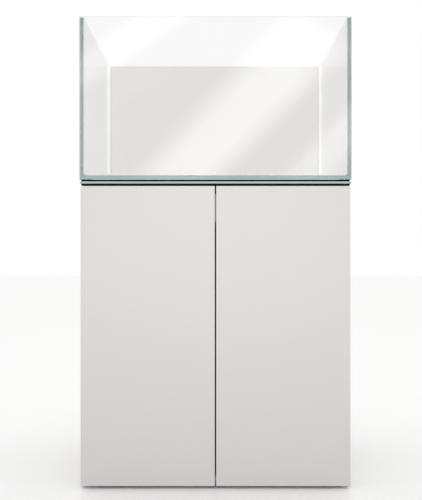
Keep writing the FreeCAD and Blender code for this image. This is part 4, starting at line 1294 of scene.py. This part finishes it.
# %% Four feet
for end in ("front", "rear"):
    for side in ("left", "right"):
        node = f"{end}_{side}_foot"
        low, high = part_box(node)
        inputs = {
            "Middle": ((low.x + high.x) / 2, (low.y + high.y) / 2, low.z),
            "Pad": (high.x - low.x) / 2,
            "Stem_Height": high.z - low.z - PAD_HEIGHT,
        }
        foot = grow(f"{node}_ribbed", foot_rule, (black_plastic,), **inputs)
        smooth(foot, 40)
        stand_in(foot, node)

# %% [markdown]
# ## Push latches
#
# Behind the top of each door a barrel sits in the rail, with a sprung plunger that pushes the
# door open and a steel disc that its magnet holds. All are turned shapes, so each is a profile
# spun about its axis: a list of steps along and out. A lathe-like modifier would also spin them.


# %% Turned pieces
TURNED_SIDES = 32


def ring_spots(across, along, up, out):
    """Spots round the axis at one step, or the one spot on it where the step has no radius."""
    count = 1 if out == 0 else TURNED_SIDES
    turns = [2 * math.pi * number / TURNED_SIDES for number in range(count)]
    return [(across + out * math.cos(turn), along, up + out * math.sin(turn)) for turn in turns]


def turned(name, node, material, profile):
    """Spins a profile of (along, out) steps about an axis that runs along Y through a node."""
    low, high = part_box(node)
    across, _, up = middle(low, high)
    shape = bmesh.new()
    rings = [
        [shape.verts.new(spot) for spot in ring_spots(across, low.y + along, up, out)]
        for along, out in profile
    ]
    for first, second in zip(rings, rings[1:]):
        for number in range(TURNED_SIDES):
            following = (number + 1) % TURNED_SIDES
            corners = [first[number % len(first)], first[following % len(first)]]
            corners += [second[following % len(second)], second[number % len(second)]]
            shape.faces.new(list(dict.fromkeys(corners)))
    bmesh.ops.recalc_face_normals(shape, faces=shape.faces)
    piece = plain_object(name, finished_mesh(name, shape, material))
    smooth(piece, 30)
    stand_in(piece, node)
    print("turned", name, len(piece.data.polygons), "faces")


def ribbed_barrel(length, flange, radius, bore, depth):
    """The barrel's outline: a chamfered flange, a plain length in the rail, then grooves."""
    outline = [(0.0, bore), (0.0, flange - 0.0005), (0.0004, flange)]
    outline += [(0.001, flange), (0.001, radius)]
    groove = 0.020
    while groove < length - 0.006:
        outline += [(groove, radius), (groove + 0.0004, radius - 0.0005)]
        outline += [(groove + 0.0014, radius - 0.0005), (groove + 0.0018, radius)]
        groove += 0.004
    outline += [(length - 0.0008, radius), (length, radius - 0.0008), (length, 0.0)]
    return [(depth, 0.0), (depth, bore)] + outline


# %% [markdown]
# The barrel's grooves hold it in its bore, the plunger has a rounded tip, and the strike disc has
# a raised rim round its screw. Each profile starts and ends on the axis, so it closes by itself.

# %% Latches
rounded_stem = [
    (0.0, 0.0),
    (0.0, 0.0022),
    (0.0003, 0.0027),
    (0.0008, 0.003),
    (0.0295, 0.003),
    (0.03, 0.0026),
    (0.03, 0.0),
]
disc = [
    (0.0, 0.0),
    (0.0, 0.0019),
    (0.008, 0.002),
    (0.008, 0.0078),
    (0.0083, 0.008),
    (0.0087, 0.008),
    (0.009, 0.0077),
    (0.009, 0.0062),
    (0.0088, 0.006),
    (0.0088, 0.0018),
    (0.0085, 0.0012),
    (0.0085, 0.0),
]
barrel = ribbed_barrel(0.05, 0.007, 0.005, 0.00305, 0.047)
for side in ("left", "right"):
    turned(f"{side}_latch_barrel", f"{side}_latch_housing", grey_plastic, barrel)
    turned(f"{side}_latch_stem", f"{side}_latch_plunger", plunger_plastic, rounded_stem)
    turned(f"{side}_strike_disc", f"{side}_strike_plate", bright_steel, disc)
